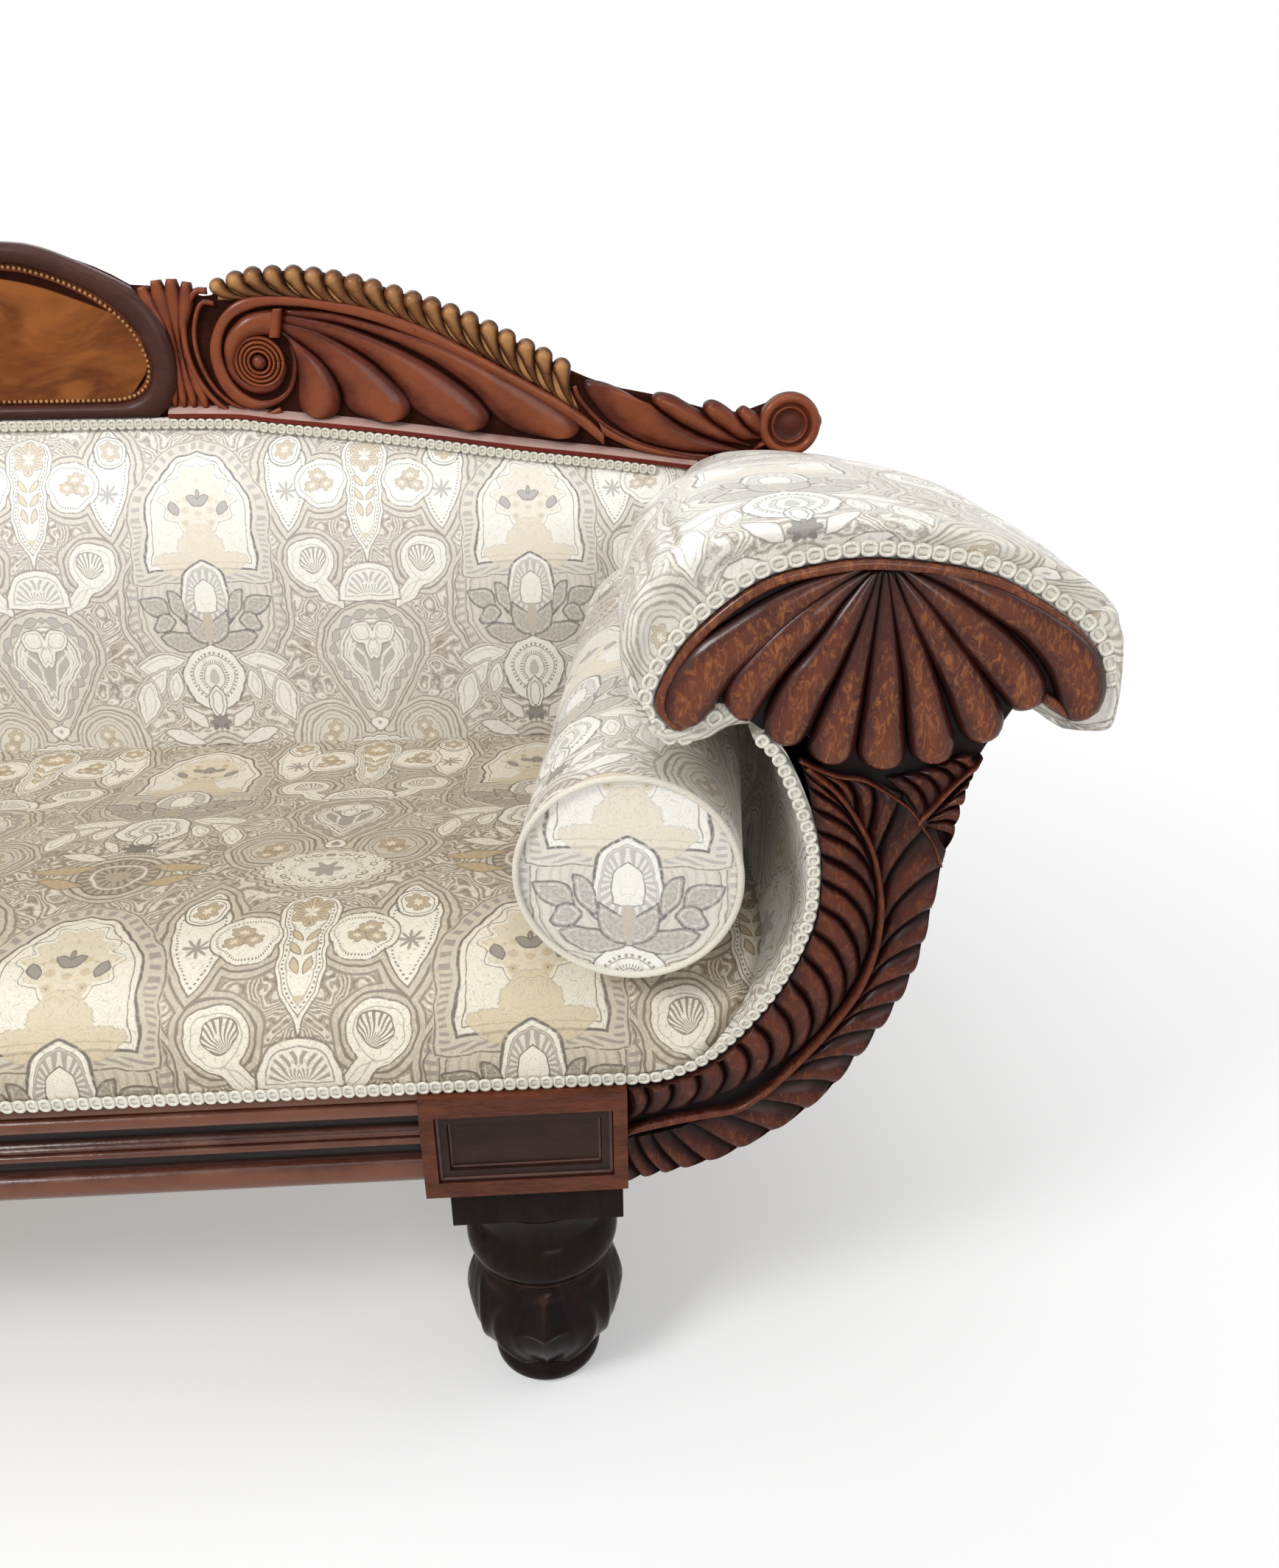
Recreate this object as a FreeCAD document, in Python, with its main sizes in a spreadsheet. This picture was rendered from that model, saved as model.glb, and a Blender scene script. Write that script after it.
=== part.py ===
"""A double-ended scroll-arm sofa in carved mahogany, built from its separate pieces.

Millimetres. +X runs along the sofa, the front faces -Y and +Z is up.
The origin is on the floor, under the middle of the sofa.
"""

import FreeCAD, Part
import math
import operator
import os

import Sketcher

V = FreeCAD.Vector
doc = FreeCAD.newDocument("double_ended_sofa")

# Driving dimensions, all in millimetres unless the name says otherwise
DIMENSIONS = {
    # Whole sofa
    "depth_overall": 710,
    # Seat frame
    "rail_bottom": 250,
    "rail_top": 343,
    "block_inner": 608,
    "block_width": 158,
    "block_depth": 146,
    "frame_band": 11,
    "recess_step": 9,
    "recess_height": 46,
    "recess_depth": 4,
    "tenon_length": 25,
    "tenon_width": 22,
    "tenon_shoulder": 12,
    "moulding_face": 20,
    "moulding_back": 36,
    "moulding_lip": 6,
    "moulding_cove": 5,
    "rail_thick": 40,
    "side_rail_inner": 640,
    "bearer_x": 205,
    "bearer_width": 60,
    "bearer_height": 45,
    "web_thick": 2,
    "web_width": 52,
    "web_pitch": 118,
    "web_count": 10,
    # Front leg, turned
    "plate_side": 136,
    "plate_height": 36,
    "collar_radius": 60,
    "collar_flare": 2.5,
    "ring_radius": 65,
    "ring_level": 150,
    "neck_radius": 57,
    "neck_level": 124,
    "bulb_radius": 68,
    "bulb_level": 78,
    "foot_radius": 47,
    "foot_height": 20,
    "foot_bevel": 5,
    "foot_curve": 14,
    "foot_side_curve": 16,
    "foot_waist": 4,
    "bulb_curve": 76,
    "neck_curve": 12,
    "cavetto_curve": 60,
    "leg_shift_x": 7,
    "leg_shift_y": 6,
    "spigot_radius": 15,
    "spigot_length": 45,
    # Rear leg, square and raked back
    "rear_leg_width": 70,
    "rear_stump_front": 630,
    "rear_foot_side": 44,
    # Back frame
    "board_front": 664,
    "board_back": 690,
    "stile_x": 590,
    "stile_width": 50,
    "cover_thick": 3,
    # Arm outline: reach from the leg block, rise from the rail's lower edge
    "arm_reach": 324,
    "arm_rise": 502,
    "carving_relief": 14,
    "facing_thick": 24,
    "fan_tip_radius": 16,
    "fan_backing": 3,
    "pad_proud": 9,
    "pad_bed": 22,
    "roll_lip_level": 600,
    "roll_rear_top": 690,
    "roll_rear_width": 0.70,
    "roll_rear_set": 11,
    "outer_cover_thick": 6,
    "stretcher": 30,
    # Soft seat and back
    "seat_crown": 441,
    "seat_front_drop": 64,
    "seat_rear_drop": 47,
    "back_foot": 565,
    "soft_gap": 0.3,
    # Crest
    "crest_base": 735,
    "arch_half_width": 335,
    "arch_rise": 179,
    "arch_shoulder_rise": 46,
    "arch_frame": 27,
    "panel_set": 6,
    "flute_height": 132,
    "board_inset": 4,
    "wing_start": 346,
    "wing_length": 679,
    "wing_rise": 146,
    "band_width": 13,
    "volute_radius": 44,
    "roundel_radius": 34,
    "gadroon_count": 19,
    "gadroon_radius": 10.2,
    # Loose bolsters
    "bolster_radius": 82,
    "bolster_length": 530,
    "bolster_x": 769,
    "bolster_front": 10,
    "bolster_yaw": 7,
    "bolster_bevel": 5,
    "bolster_lift": 0.4,
    "piping_radius": 3,
    # Braid
    "gimp_height": 11,
    "gimp_thick": 2.5,
}

OPERATIONS = {"+": operator.add, "-": operator.sub, "*": operator.mul, "/": operator.truediv}


class Size:
    """A length that carries both its number and its spreadsheet formula."""

    def __init__(self, number, formula):
        self.number = number
        self.formula = formula

    def joined(self, sign, other, swap=False):
        other = sized(other)
        first, second = (other, self) if swap else (self, other)
        number = OPERATIONS[sign](first.number, second.number)
        return Size(number, f"({first.formula} {sign} {second.formula})")

    def __add__(self, other):
        return self.joined("+", other)

    def __radd__(self, other):
        return self.joined("+", other, True)

    def __sub__(self, other):
        return self.joined("-", other)

    def __rsub__(self, other):
        return self.joined("-", other, True)

    def __mul__(self, other):
        return self.joined("*", other)

    def __rmul__(self, other):
        return self.joined("*", other, True)

    def __truediv__(self, other):
        return self.joined("/", other)

    def __neg__(self):
        return 0 - self

    def __float__(self):
        return float(self.number)


def sized(value):
    return value if isinstance(value, Size) else Size(float(value), f"{float(value):.6f}")


class Named:
    """The sheet's cells as attributes."""


def make_sheet():
    sheet = doc.addObject("Spreadsheet::Sheet", "Sizes")
    for row, (alias, value) in enumerate(DIMENSIONS.items(), 1):
        sheet.set(f"A{row}", alias)
        sheet.set(f"B{row}", str(value))
        sheet.setAlias(f"B{row}", alias)
    doc.recompute()
    named = Named()
    for alias in DIMENSIONS:
        setattr(named, alias, Size(float(sheet.get(alias)), f"Sizes.{alias}"))
    return named


d = make_sheet()
front = -d.depth_overall / 2
nodes = []


def kept(thing):
    nodes.append(thing)
    return thing


def behind(offset):
    """The Y of something that lies this far behind the sofa's front plane."""
    return front + offset


# Builders for document objects
def bind(thing, path, size):
    thing.setExpression(path, sized(size).formula)


def box(label, x, y, z):
    block = doc.addObject("Part::Box", label)
    for side, axis, (low, high) in zip(("Length", "Width", "Height"), "xyz", (x, y, z)):
        bind(block, side, sized(high) - low)
        bind(block, f"Placement.Base.{axis}", low)
    return block


def joined(label, kind, pieces):
    """A Part::MultiFuse or a Part::Compound of several pieces."""
    whole = doc.addObject(kind, label)
    setattr(whole, "Links" if kind == "Part::Compound" else "Shapes", pieces)
    return whole


def cut(label, base, tool):
    result = doc.addObject("Part::Cut", label)
    result.Base = base
    result.Tool = tool
    return result


def shaped(label, shape):
    feature = doc.addObject("Part::Feature", label)
    feature.Shape = shape
    return feature


def mirrored(source, label):
    other = doc.addObject("Part::Mirroring", label)
    other.Source = source
    other.Normal = V(1, 0, 0)
    return other


def pair(make):
    """Keep a right-hand piece and its mirror image on the left."""
    right = kept(make)
    left = kept(mirrored(right, right.Label.replace("_right", "_left")))
    return right, left


def both_sides(shapes):
    """Shapes together with their mirror images across the sofa's middle."""
    return shapes + [shape.mirror(V(0, 0, 0), V(1, 0, 0)) for shape in shapes]


def new_body(label):
    return doc.addObject("PartDesign::Body", label)


def sketch_on(body, role, offset, name):
    sketch = body.newObject("Sketcher::SketchObject", name)
    plane = [item for item in body.Origin.OriginFeatures if item.Role == role][0]
    sketch.AttachmentSupport = [(plane, "")]
    sketch.MapMode = "FlatFace"
    bind(sketch, "AttachmentOffset.Base.z", offset)
    return sketch


def draw(sketch, corners):
    """A closed outline. A corner is (x, y) or (x, y, radius): the radius makes the edge after
    it an arc, which swells to the right of its direction of travel, or to the left if negative."""
    count = len(corners)
    for index, corner in enumerate(corners):
        after = corners[(index + 1) % count]
        start = V(float(corner[0]), float(corner[1]), 0)
        end = V(float(after[0]), float(after[1]), 0)
        if len(corner) == 2:
            sketch.addGeometry(Part.LineSegment(start, end), False)
            continue
        radius = float(corner[2])
        chord = end - start
        side = V(chord.y, -chord.x, 0).normalize() * (1 if radius > 0 else -1)
        rise = abs(radius) - math.sqrt(max(radius * radius - chord.Length ** 2 / 4, 0))
        arc = Part.Arc(start, (start + end) * 0.5 + side * rise, end)
        sketch.addGeometry(arc, False)
    ends = []
    for index, corner in enumerate(corners):
        straight_or_right = len(corner) == 2 or float(corner[2]) > 0
        ends.append((1, 2) if straight_or_right else (2, 1))
    for index in range(count):
        after = (index + 1) % count
        joint = Sketcher.Constraint("Coincident", index, ends[index][1], after, ends[after][0])
        sketch.addConstraint(joint)
    for index, corner in enumerate(corners):
        for kind, size in (("DistanceX", corner[0]), ("DistanceY", corner[1])):
            size = sized(size)
            limit = Sketcher.Constraint(kind, -1, 1, index, ends[index][0], size.number)
            number = sketch.addConstraint(limit)
            sketch.setExpression(f"Constraints[{number}]", size.formula)
        if len(corner) == 3:
            radius = abs(float(corner[2]))
            number = sketch.addConstraint(Sketcher.Constraint("Radius", index, radius))
            size = sized(corner[2])
            sign = "" if size.number > 0 else "-"
            sketch.setExpression(f"Constraints[{number}]", f"{sign}{size.formula}")


def rectangle(x, y):
    return [(x[0], y[0]), (x[1], y[0]), (x[1], y[1]), (x[0], y[1])]


def pad(body, role, corners, low, high, name="outline"):
    """Raise an outline between two levels along its plane's axis."""
    level = -sized(high) if role == "XZ_Plane" else sized(low)
    sketch = sketch_on(body, role, level, name)
    draw(sketch, corners)
    feature = body.newObject("PartDesign::Pad", f"{name}_pad")
    feature.Profile = sketch
    bind(feature, "Length", sized(high) - low)
    return feature


def pocket(body, role, corners, mouth, depth, towards_plus, name):
    """Sink an outline from its mouth into the solid, and check that it cut something."""
    doc.recompute()
    before = body.Shape.Volume
    level = -sized(mouth) if role == "XZ_Plane" else sized(mouth)
    sketch = sketch_on(body, role, level, name)
    draw(sketch, corners)
    feature = body.newObject("PartDesign::Pocket", f"{name}_pocket")
    feature.Profile = sketch
    bind(feature, "Length", depth)
    faces_plus = role != "XZ_Plane"
    feature.Reversed = towards_plus == faces_plus
    doc.recompute()
    if body.Shape.Volume > before - 1:
        raise RuntimeError(f"{name} cut nothing from {body.Label}")
    return feature


def turned(label, corners, angle=360):
    """A body turned round its own Z axis from a half outline of (radius, level) corners."""
    body = new_body(label)
    sketch = sketch_on(body, "XZ_Plane", 0, f"{label}_profile")
    draw(sketch, corners)
    spin = body.newObject("PartDesign::Revolution", f"{label}_spin")
    spin.Profile = sketch
    spin.ReferenceAxis = (sketch, ["V_Axis"])
    spin.Angle = angle
    return body


def placed(body, x, y, z):
    for axis, size in zip("xyz", (x, y, z)):
        bind(body, f"Placement.Base.{axis}", size)
    return body


# Free curves
def spline(points):
    curve = Part.BSplineCurve()
    curve.interpolate([V(*point) for point in points])
    return curve


def closed_wire(*runs):
    """Runs of points, each a smooth curve, joined end to end and closed by straight edges."""
    edges = []
    for index, run in enumerate(runs):
        after = runs[(index + 1) % len(runs)]
        if len(run) == 2:
            edges.append(Part.makeLine(V(*run[0]), V(*run[1])))
        elif len(run) > 2:
            edges.append(spline(run).toShape())
        if (V(*run[-1]) - V(*after[0])).Length > 1e-6:
            edges.append(Part.makeLine(V(*run[-1]), V(*after[0])))
    return Part.Wire(edges)


def slab(outline, y_low, y_high):
    """A board whose outline is a wire drawn at y = 0, between two depths."""
    face = Part.Face(outline)
    face.translate(V(0, float(y_low), 0))
    return face.extrude(V(0, float(y_high) - float(y_low), 0))


def at_depth(points, y=0.0):
    return [(x, float(y), z) for x, z in points]


def shifted(points, distance):
    """Points moved sideways off their own curve, to the left of its direction."""
    moved = []
    for index, (x, z) in enumerate(points):
        before = points[max(index - 1, 0)]
        after = points[min(index + 1, len(points) - 1)]
        along_x, along_z = after[0] - before[0], after[1] - before[1]
        size = math.hypot(along_x, along_z)
        moved.append((x - distance * along_z / size, z + distance * along_x / size))
    return moved


def lobe(root, tip, root_radius, tip_radius):
    """A straight tapering lobe between two (x, y, z) centres, rounded at its tip."""
    start, axis = V(*root), V(*tip) - V(*root)
    length = axis.Length
    lean = math.asin((tip_radius - root_radius) / length)
    touch = V(tip_radius * math.cos(lean), 0, length - tip_radius * math.sin(lean))
    crown = V(tip_radius * math.cos(math.pi / 4 - lean / 2), 0,
              length + tip_radius * math.sin(math.pi / 4 - lean / 2))
    top = V(0, 0, length + tip_radius)
    foot = V(root_radius, 0, 0)
    edges = [Part.makeLine(V(0, 0, 0), foot), Part.makeLine(foot, touch),
             Part.Arc(touch, crown, top).toShape(), Part.makeLine(top, V(0, 0, 0))]
    solid = Part.Face(Part.Wire(edges)).revolve(V(0, 0, 0), V(0, 0, 1), 360)
    solid.Placement = FreeCAD.Placement(start, FreeCAD.Rotation(V(0, 0, 1), axis))
    return solid


def front_half(shape, plane_y, relief):
    """What stands in front of a board, no prouder than the relief."""
    bounds = shape.BoundBox
    margin = 5
    room = Part.makeBox(
        bounds.XLength + 2 * margin,
        float(relief),
        bounds.ZLength + 2 * margin,
        V(bounds.XMin - margin, float(plane_y) - float(relief), bounds.ZMin - margin),
    )
    return shape.common(room)


# Seat frame
def make_front_rail():
    rail_front = behind(d.moulding_back)
    rail_back = rail_front + d.rail_thick
    middle = (rail_front + rail_back) / 2
    bar = box(
        "front_rail_bar",
        (-d.block_inner, d.block_inner),
        (rail_front, rail_back),
        (d.rail_bottom, d.rail_top),
    )
    reach = d.block_inner + d.tenon_length
    tenon = box(
        "front_rail_tenons",
        (-reach, reach),
        (middle - d.tenon_width / 2, middle + d.tenon_width / 2),
        (d.rail_bottom + d.tenon_shoulder, d.rail_top - d.tenon_shoulder),
    )
    return kept(joined("front_rail", "Part::MultiFuse", [bar, tenon]))


# Levels of the moulding's members up the rail, and arc radii as shares of a member's height
MOULDING_STEPS = (0.269, 0.409, 0.559, 0.71, 0.892)
ROUND = 0.53
COVE = 0.7


def make_moulding():
    """Fillet, half round, cove, centre bead, cove and heavy lower half round."""
    face = behind(d.moulding_face)
    hollow = face + d.moulding_cove
    lip = face - d.moulding_lip
    back = behind(d.moulding_back)
    low = d.rail_bottom
    top = d.rail_top
    steps = [low + (top - low) * share for share in MOULDING_STEPS]
    corners = [
        (back, low),
        (back, top),
        (lip, top),
        (lip, steps[4]),
        (face, steps[4], (steps[4] - steps[3]) * ROUND),
        (face, steps[3]),
        (hollow, steps[3], (steps[2] - steps[3]) * COVE),
        (hollow, steps[2]),
        (face, steps[2], (steps[2] - steps[1]) * ROUND),
        (face, steps[1]),
        (hollow, steps[1], (steps[0] - steps[1]) * COVE),
        (hollow, steps[0]),
        (face, steps[0], (steps[0] - low) * ROUND),
        (face, low),
    ]
    body = new_body("front_rail_moulding")
    pad(body, "YZ_Plane", corners, -d.block_inner, d.block_inner, "moulding")
    return kept(body)


def make_leg_block():
    outer = d.block_inner + d.block_width
    body = new_body("leg_block_right")
    footprint = rectangle((d.block_inner, outer), (front, behind(d.block_depth)))
    pad(body, "XY_Plane", footprint, d.rail_bottom, d.rail_top + d.web_thick, "block")
    centre_z = (d.rail_bottom + d.rail_top) / 2
    half = d.recess_height / 2
    for number, inset in ((1, 0), (2, d.recess_step)):
        wide = (d.block_inner + d.frame_band + inset, outer - d.frame_band - inset)
        tall = (centre_z - half - d.recess_step + inset, centre_z + half + d.recess_step - inset)
        mouth = front + (number - 1) * d.recess_depth
        pocket(body, "XZ_Plane", rectangle(wide, tall), mouth, d.recess_depth, True,
               f"recess_{number}")
    tall = (d.rail_bottom + d.tenon_shoulder, d.rail_top - d.tenon_shoulder)
    middle = behind(d.moulding_back) + d.rail_thick / 2
    deep = (middle - d.tenon_width / 2, middle + d.tenon_width / 2)
    pocket(body, "YZ_Plane", rectangle(deep, tall), d.block_inner, d.tenon_length, True,
           "rail_mortise")
    centre = d.side_rail_inner + d.rail_thick / 2
    wide = (centre - d.tenon_width / 2, centre + d.tenon_width / 2)
    pocket(body, "XZ_Plane", rectangle(wide, tall), behind(d.block_depth), d.tenon_length, False,
           "side_mortise")
    hole = body.newObject("Sketcher::SketchObject", "spigot_hole")
    plane = [item for item in body.Origin.OriginFeatures if item.Role == "XY_Plane"][0]
    hole.AttachmentSupport = [(plane, "")]
    hole.MapMode = "FlatFace"
    bind(hole, "AttachmentOffset.Base.z", d.rail_bottom)
    leg_x, leg_y = leg_centre()
    centre = V(float(leg_x), float(leg_y), 0)
    hole.addGeometry(Part.Circle(centre, V(0, 0, 1), float(d.spigot_radius)), False)
    for kind, size in (("DistanceX", leg_x), ("DistanceY", leg_y)):
        number = hole.addConstraint(Sketcher.Constraint(kind, -1, 1, 0, 3, float(size)))
        hole.setExpression(f"Constraints[{number}]", size.formula)
    number = hole.addConstraint(Sketcher.Constraint("Radius", 0, float(d.spigot_radius)))
    hole.setExpression(f"Constraints[{number}]", d.spigot_radius.formula)
    drill = body.newObject("PartDesign::Pocket", "spigot_hole_pocket")
    drill.Profile = hole
    bind(drill, "Length", d.spigot_length)
    drill.Reversed = True
    return pair(body)


def leg_centre():
    centre_x = d.block_inner + d.block_width / 2 + d.leg_shift_x
    centre_y = front + d.plate_side / 2 + d.leg_shift_y
    return centre_x, centre_y


# The leg's ring: radius of its round and how far it stands out, as shares of its half height
RING_SWELL = 1.08
RING_RISE = 0.67


def make_front_leg():
    """Square plate, cavetto, ring, neck, melon bulb and foot, with a spigot for the block."""
    top = d.rail_bottom
    plate_under = top - d.plate_height
    ring_half = (d.ring_level - d.neck_level) / 2
    ring_curve = ring_half * RING_SWELL
    ring_foot = d.ring_radius - ring_half * RING_RISE
    corners = [
        (0, 0),
        (d.foot_radius - d.foot_bevel, 0, d.foot_curve),
        (d.foot_radius, d.foot_height, d.foot_side_curve),
        (d.foot_radius - d.foot_waist / 2, d.foot_height + d.foot_waist, d.bulb_curve),
        (d.bulb_radius, d.bulb_level, d.bulb_curve),
        (d.neck_radius, d.neck_level, -d.neck_curve),
        (ring_foot, d.ring_level - ring_half, ring_curve),
        (ring_foot, d.ring_level + ring_half),
        (d.collar_radius - d.collar_flare, d.ring_level + ring_half + 3, -d.cavetto_curve),
        (d.collar_radius + d.collar_flare, plate_under),
        (0, plate_under),
    ]
    body = turned("front_leg_right", corners)
    half = d.plate_side / 2
    pad(body, "XY_Plane", rectangle((-half, half), (-half, half)), plate_under, top, "plate")
    spigot = sketch_on(body, "XY_Plane", top, "spigot")
    spigot.addGeometry(Part.Circle(V(0, 0, 0), V(0, 0, 1), float(d.spigot_radius)), False)
    spigot.addConstraint(Sketcher.Constraint("Coincident", 0, 3, -1, 1))
    number = spigot.addConstraint(Sketcher.Constraint("Radius", 0, float(d.spigot_radius)))
    spigot.setExpression(f"Constraints[{number}]", d.spigot_radius.formula)
    feature = body.newObject("PartDesign::Pad", "spigot_pad")
    feature.Profile = spigot
    bind(feature, "Length", d.spigot_length)
    centre_x, centre_y = leg_centre()
    placed(body, centre_x, centre_y, 0)
    return pair(body)


def rear_leg_sides():
    outer = d.side_rail_inner + d.rail_thick / 2 + d.rear_leg_width / 2
    return outer - d.rear_leg_width, outer


def make_rear_leg():
    """A square stump in the seat frame over a tapered leg that rakes back."""
    inner, outer = rear_leg_sides()
    body = new_body("rear_leg_right")
    stump_front = behind(d.rear_stump_front)
    stump_back = behind(d.board_back)
    footprint = rectangle((inner, outer), (stump_front, stump_back))
    pad(body, "XY_Plane", footprint, d.rail_bottom, d.rail_top, "stump")
    tall = (d.rail_bottom + d.tenon_shoulder, d.rail_top - d.tenon_shoulder)
    centre = d.side_rail_inner + d.rail_thick / 2
    wide = (centre - d.tenon_width / 2, centre + d.tenon_width / 2)
    pocket(body, "XZ_Plane", rectangle(wide, tall), stump_front, d.tenon_length, True,
           "side_mortise")
    deep = back_tenon_depths()
    pocket(body, "YZ_Plane", rectangle(deep, tall), inner, d.tenon_length, True, "back_mortise")
    half = d.rear_foot_side / 2
    middle = (inner + outer) / 2
    foot_middle = -front - half
    sections = []
    for level, name, wide, deep in (
        (d.rail_bottom, "leg_top", (inner, outer), (stump_front, stump_back)),
        (sized(0), "leg_foot", (middle - half, middle + half),
         (foot_middle - half, foot_middle + half)),
    ):
        sketch = sketch_on(body, "XY_Plane", level, name)
        draw(sketch, rectangle(wide, deep))
        sections.append(sketch)
    loft = body.newObject("PartDesign::AdditiveLoft", "raked_leg")
    loft.Profile = sections[0]
    loft.Sections = [sections[1]]
    return pair(body)


def back_tenon_depths():
    middle = (behind(d.board_front) + behind(d.board_back)) / 2
    return middle - d.tenon_width / 2, middle + d.tenon_width / 2


def make_back_rail():
    inner, _ = rear_leg_sides()
    bar = box("back_rail_bar", (-inner, inner), (behind(d.board_front), behind(d.board_back)),
              (d.rail_bottom, d.rail_top))
    reach = inner + d.tenon_length
    tenon = box("back_rail_tenons", (-reach, reach), back_tenon_depths(),
                (d.rail_bottom + d.tenon_shoulder, d.rail_top - d.tenon_shoulder))
    return kept(joined("back_rail", "Part::MultiFuse", [bar, tenon]))


def make_side_rail():
    start = behind(d.block_depth)
    end = behind(d.rear_stump_front)
    centre = d.side_rail_inner + d.rail_thick / 2
    bar = box("side_rail_bar", (centre - d.rail_thick / 2, centre + d.rail_thick / 2),
              (start, end), (d.rail_bottom, d.rail_top))
    tenon = box("side_rail_tenons", (centre - d.tenon_width / 2, centre + d.tenon_width / 2),
                (start - d.tenon_length, end + d.tenon_length),
                (d.rail_bottom + d.tenon_shoulder, d.rail_top - d.tenon_shoulder))
    return pair(joined("side_rail_right", "Part::MultiFuse", [bar, tenon]))


def make_bearers():
    start = behind(d.moulding_back) + d.rail_thick
    bars = []
    for side, name in ((-1, "bearer_a"), (1, "bearer_b")):
        middle = d.bearer_x * side
        bars.append(box(name, (middle - d.bearer_width / 2, middle + d.bearer_width / 2),
                        (start, behind(d.board_front)),
                        (d.rail_bottom, d.rail_bottom + d.bearer_height)))
    return kept(joined("cross_bearers", "Part::Compound", bars))


def make_webbing():
    bands = []
    count = int(round(float(d.web_count)))
    for index in range(count):
        middle = d.web_pitch * (index - (count - 1) / 2)
        bands.append(box(f"web_{index}", (middle - d.web_width / 2, middle + d.web_width / 2),
                         (behind(d.moulding_back) + 4, behind(d.board_back) - 4),
                         (d.rail_top, d.rail_top + d.web_thick)))
    return kept(joined("seat_webbing", "Part::Compound", bands))


# Arm outline on a unit grid: across by arm_reach, up by arm_rise
ARM_OUTER = ((0.0, 0.0), (0.148, 0.026), (0.262, 0.054), (0.438, 0.133), (0.571, 0.249),
             (0.66, 0.376), (0.701, 0.552), (0.744, 0.695), (0.821, 0.789))
ARM_INNER = ((0.0, 0.185), (0.105, 0.193), (0.219, 0.233), (0.346, 0.335), (0.417, 0.442),
             (0.432, 0.52), (0.417, 0.608), (0.346, 0.723), (0.293, 0.765))
FAN_LEFT_HOOK = ((0.293, 0.765), (0.238, 0.791), (0.194, 0.803), (0.127, 0.771), (0.093, 0.779),
                 (0.065, 0.819))
FAN_TOP = ((0.065, 0.819), (0.133, 0.9), (0.262, 0.97), (0.386, 0.994), (0.522, 1.0),
           (0.725, 0.978), (0.873, 0.928), (0.969, 0.873), (1.0, 0.813))
FAN_RIGHT_HOOK = ((1.0, 0.813), (0.981, 0.777), (0.938, 0.767), (0.864, 0.797), (0.821, 0.789))
FAN_FOOT = ((0.864, 0.797), (0.753, 0.74), (0.654, 0.715), (0.537, 0.706), (0.426, 0.716),
            (0.324, 0.742), (0.194, 0.803))
FAN_HUB = (0.509, 0.985)
FAN_TIPS = ((0.128, 0.812), (0.23, 0.805), (0.324, 0.768), (0.426, 0.742), (0.537, 0.732),
            (0.654, 0.737), (0.753, 0.76), (0.855, 0.803), (0.955, 0.81))
ROLL_OUTLINE = ((0.213, 0.777), (0.167, 0.741), (0.12, 0.723), (0.059, 0.761), (0.009, 0.839),
                (0.006, 0.916), (0.074, 0.99), (0.198, 1.034), (0.352, 1.048), (0.522, 1.048),
                (0.722, 1.026), (0.907, 0.972), (1.034, 0.9), (1.077, 0.807), (1.052, 0.729),
                (1.006, 0.709), (0.938, 0.729), (0.877, 0.773))
MIDRIB = ((0.02, 0.096), (0.173, 0.125), (0.383, 0.217), (0.525, 0.355), (0.559, 0.488),
          (0.506, 0.624), (0.38, 0.705))
ROLL_STATIONS = ((0.0, 0.0), (0.33, 0.12), (0.66, 0.58), (1.0, 1.0))


def arm(points):
    """Unit-grid points in millimetres, for the arm's front end."""
    start_x = float(d.block_inner) + float(d.block_width)
    start_z = float(d.rail_bottom)
    return [(start_x + u * float(d.arm_reach), start_z + v * float(d.arm_rise))
            for u, v in points]


def tapered(points, share):
    """The arm narrows and its roll sinks towards the back; share is 1 at the rear frame."""
    outermost = float(d.block_inner) + float(d.block_width) + 1.08 * float(d.arm_reach)
    lip = float(d.roll_lip_level)
    seat = float(d.rail_top)
    roll_top = float(d.rail_bottom) + 1.048 * float(d.arm_rise)
    sink = (float(d.roll_rear_top) - lip) / (roll_top - lip)
    moved = []
    for x, z in points:
        weight = min(max((z - seat) / (lip - seat), 0), 1)
        narrow = 1 - share * (1 - float(d.roll_rear_width)) * weight
        new_x = outermost - float(d.roll_rear_set) * share * weight - (outermost - x) * narrow
        new_z = z if z < lip else lip + (z - lip) * (1 - share * (1 - sink))
        moved.append((new_x, new_z))
    return moved


def arm_board_outline(share):
    """Scroll upright and mushroom head as one closed outline."""
    runs = (ARM_OUTER, FAN_RIGHT_HOOK[::-1], FAN_TOP[::-1], FAN_LEFT_HOOK[::-1], ARM_INNER[::-1])
    return closed_wire(*[at_depth(tapered(arm(run), share)) for run in runs])


# The leaf on the arm's face: lobes on each side of the midrib, and their radii
LEAF_PAIRS = 8
RIB_RADIUS = 4.6
LOBE_ROOT = 2.5
INNER_LOBE = 10
OUTER_LOBE = 11


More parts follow.
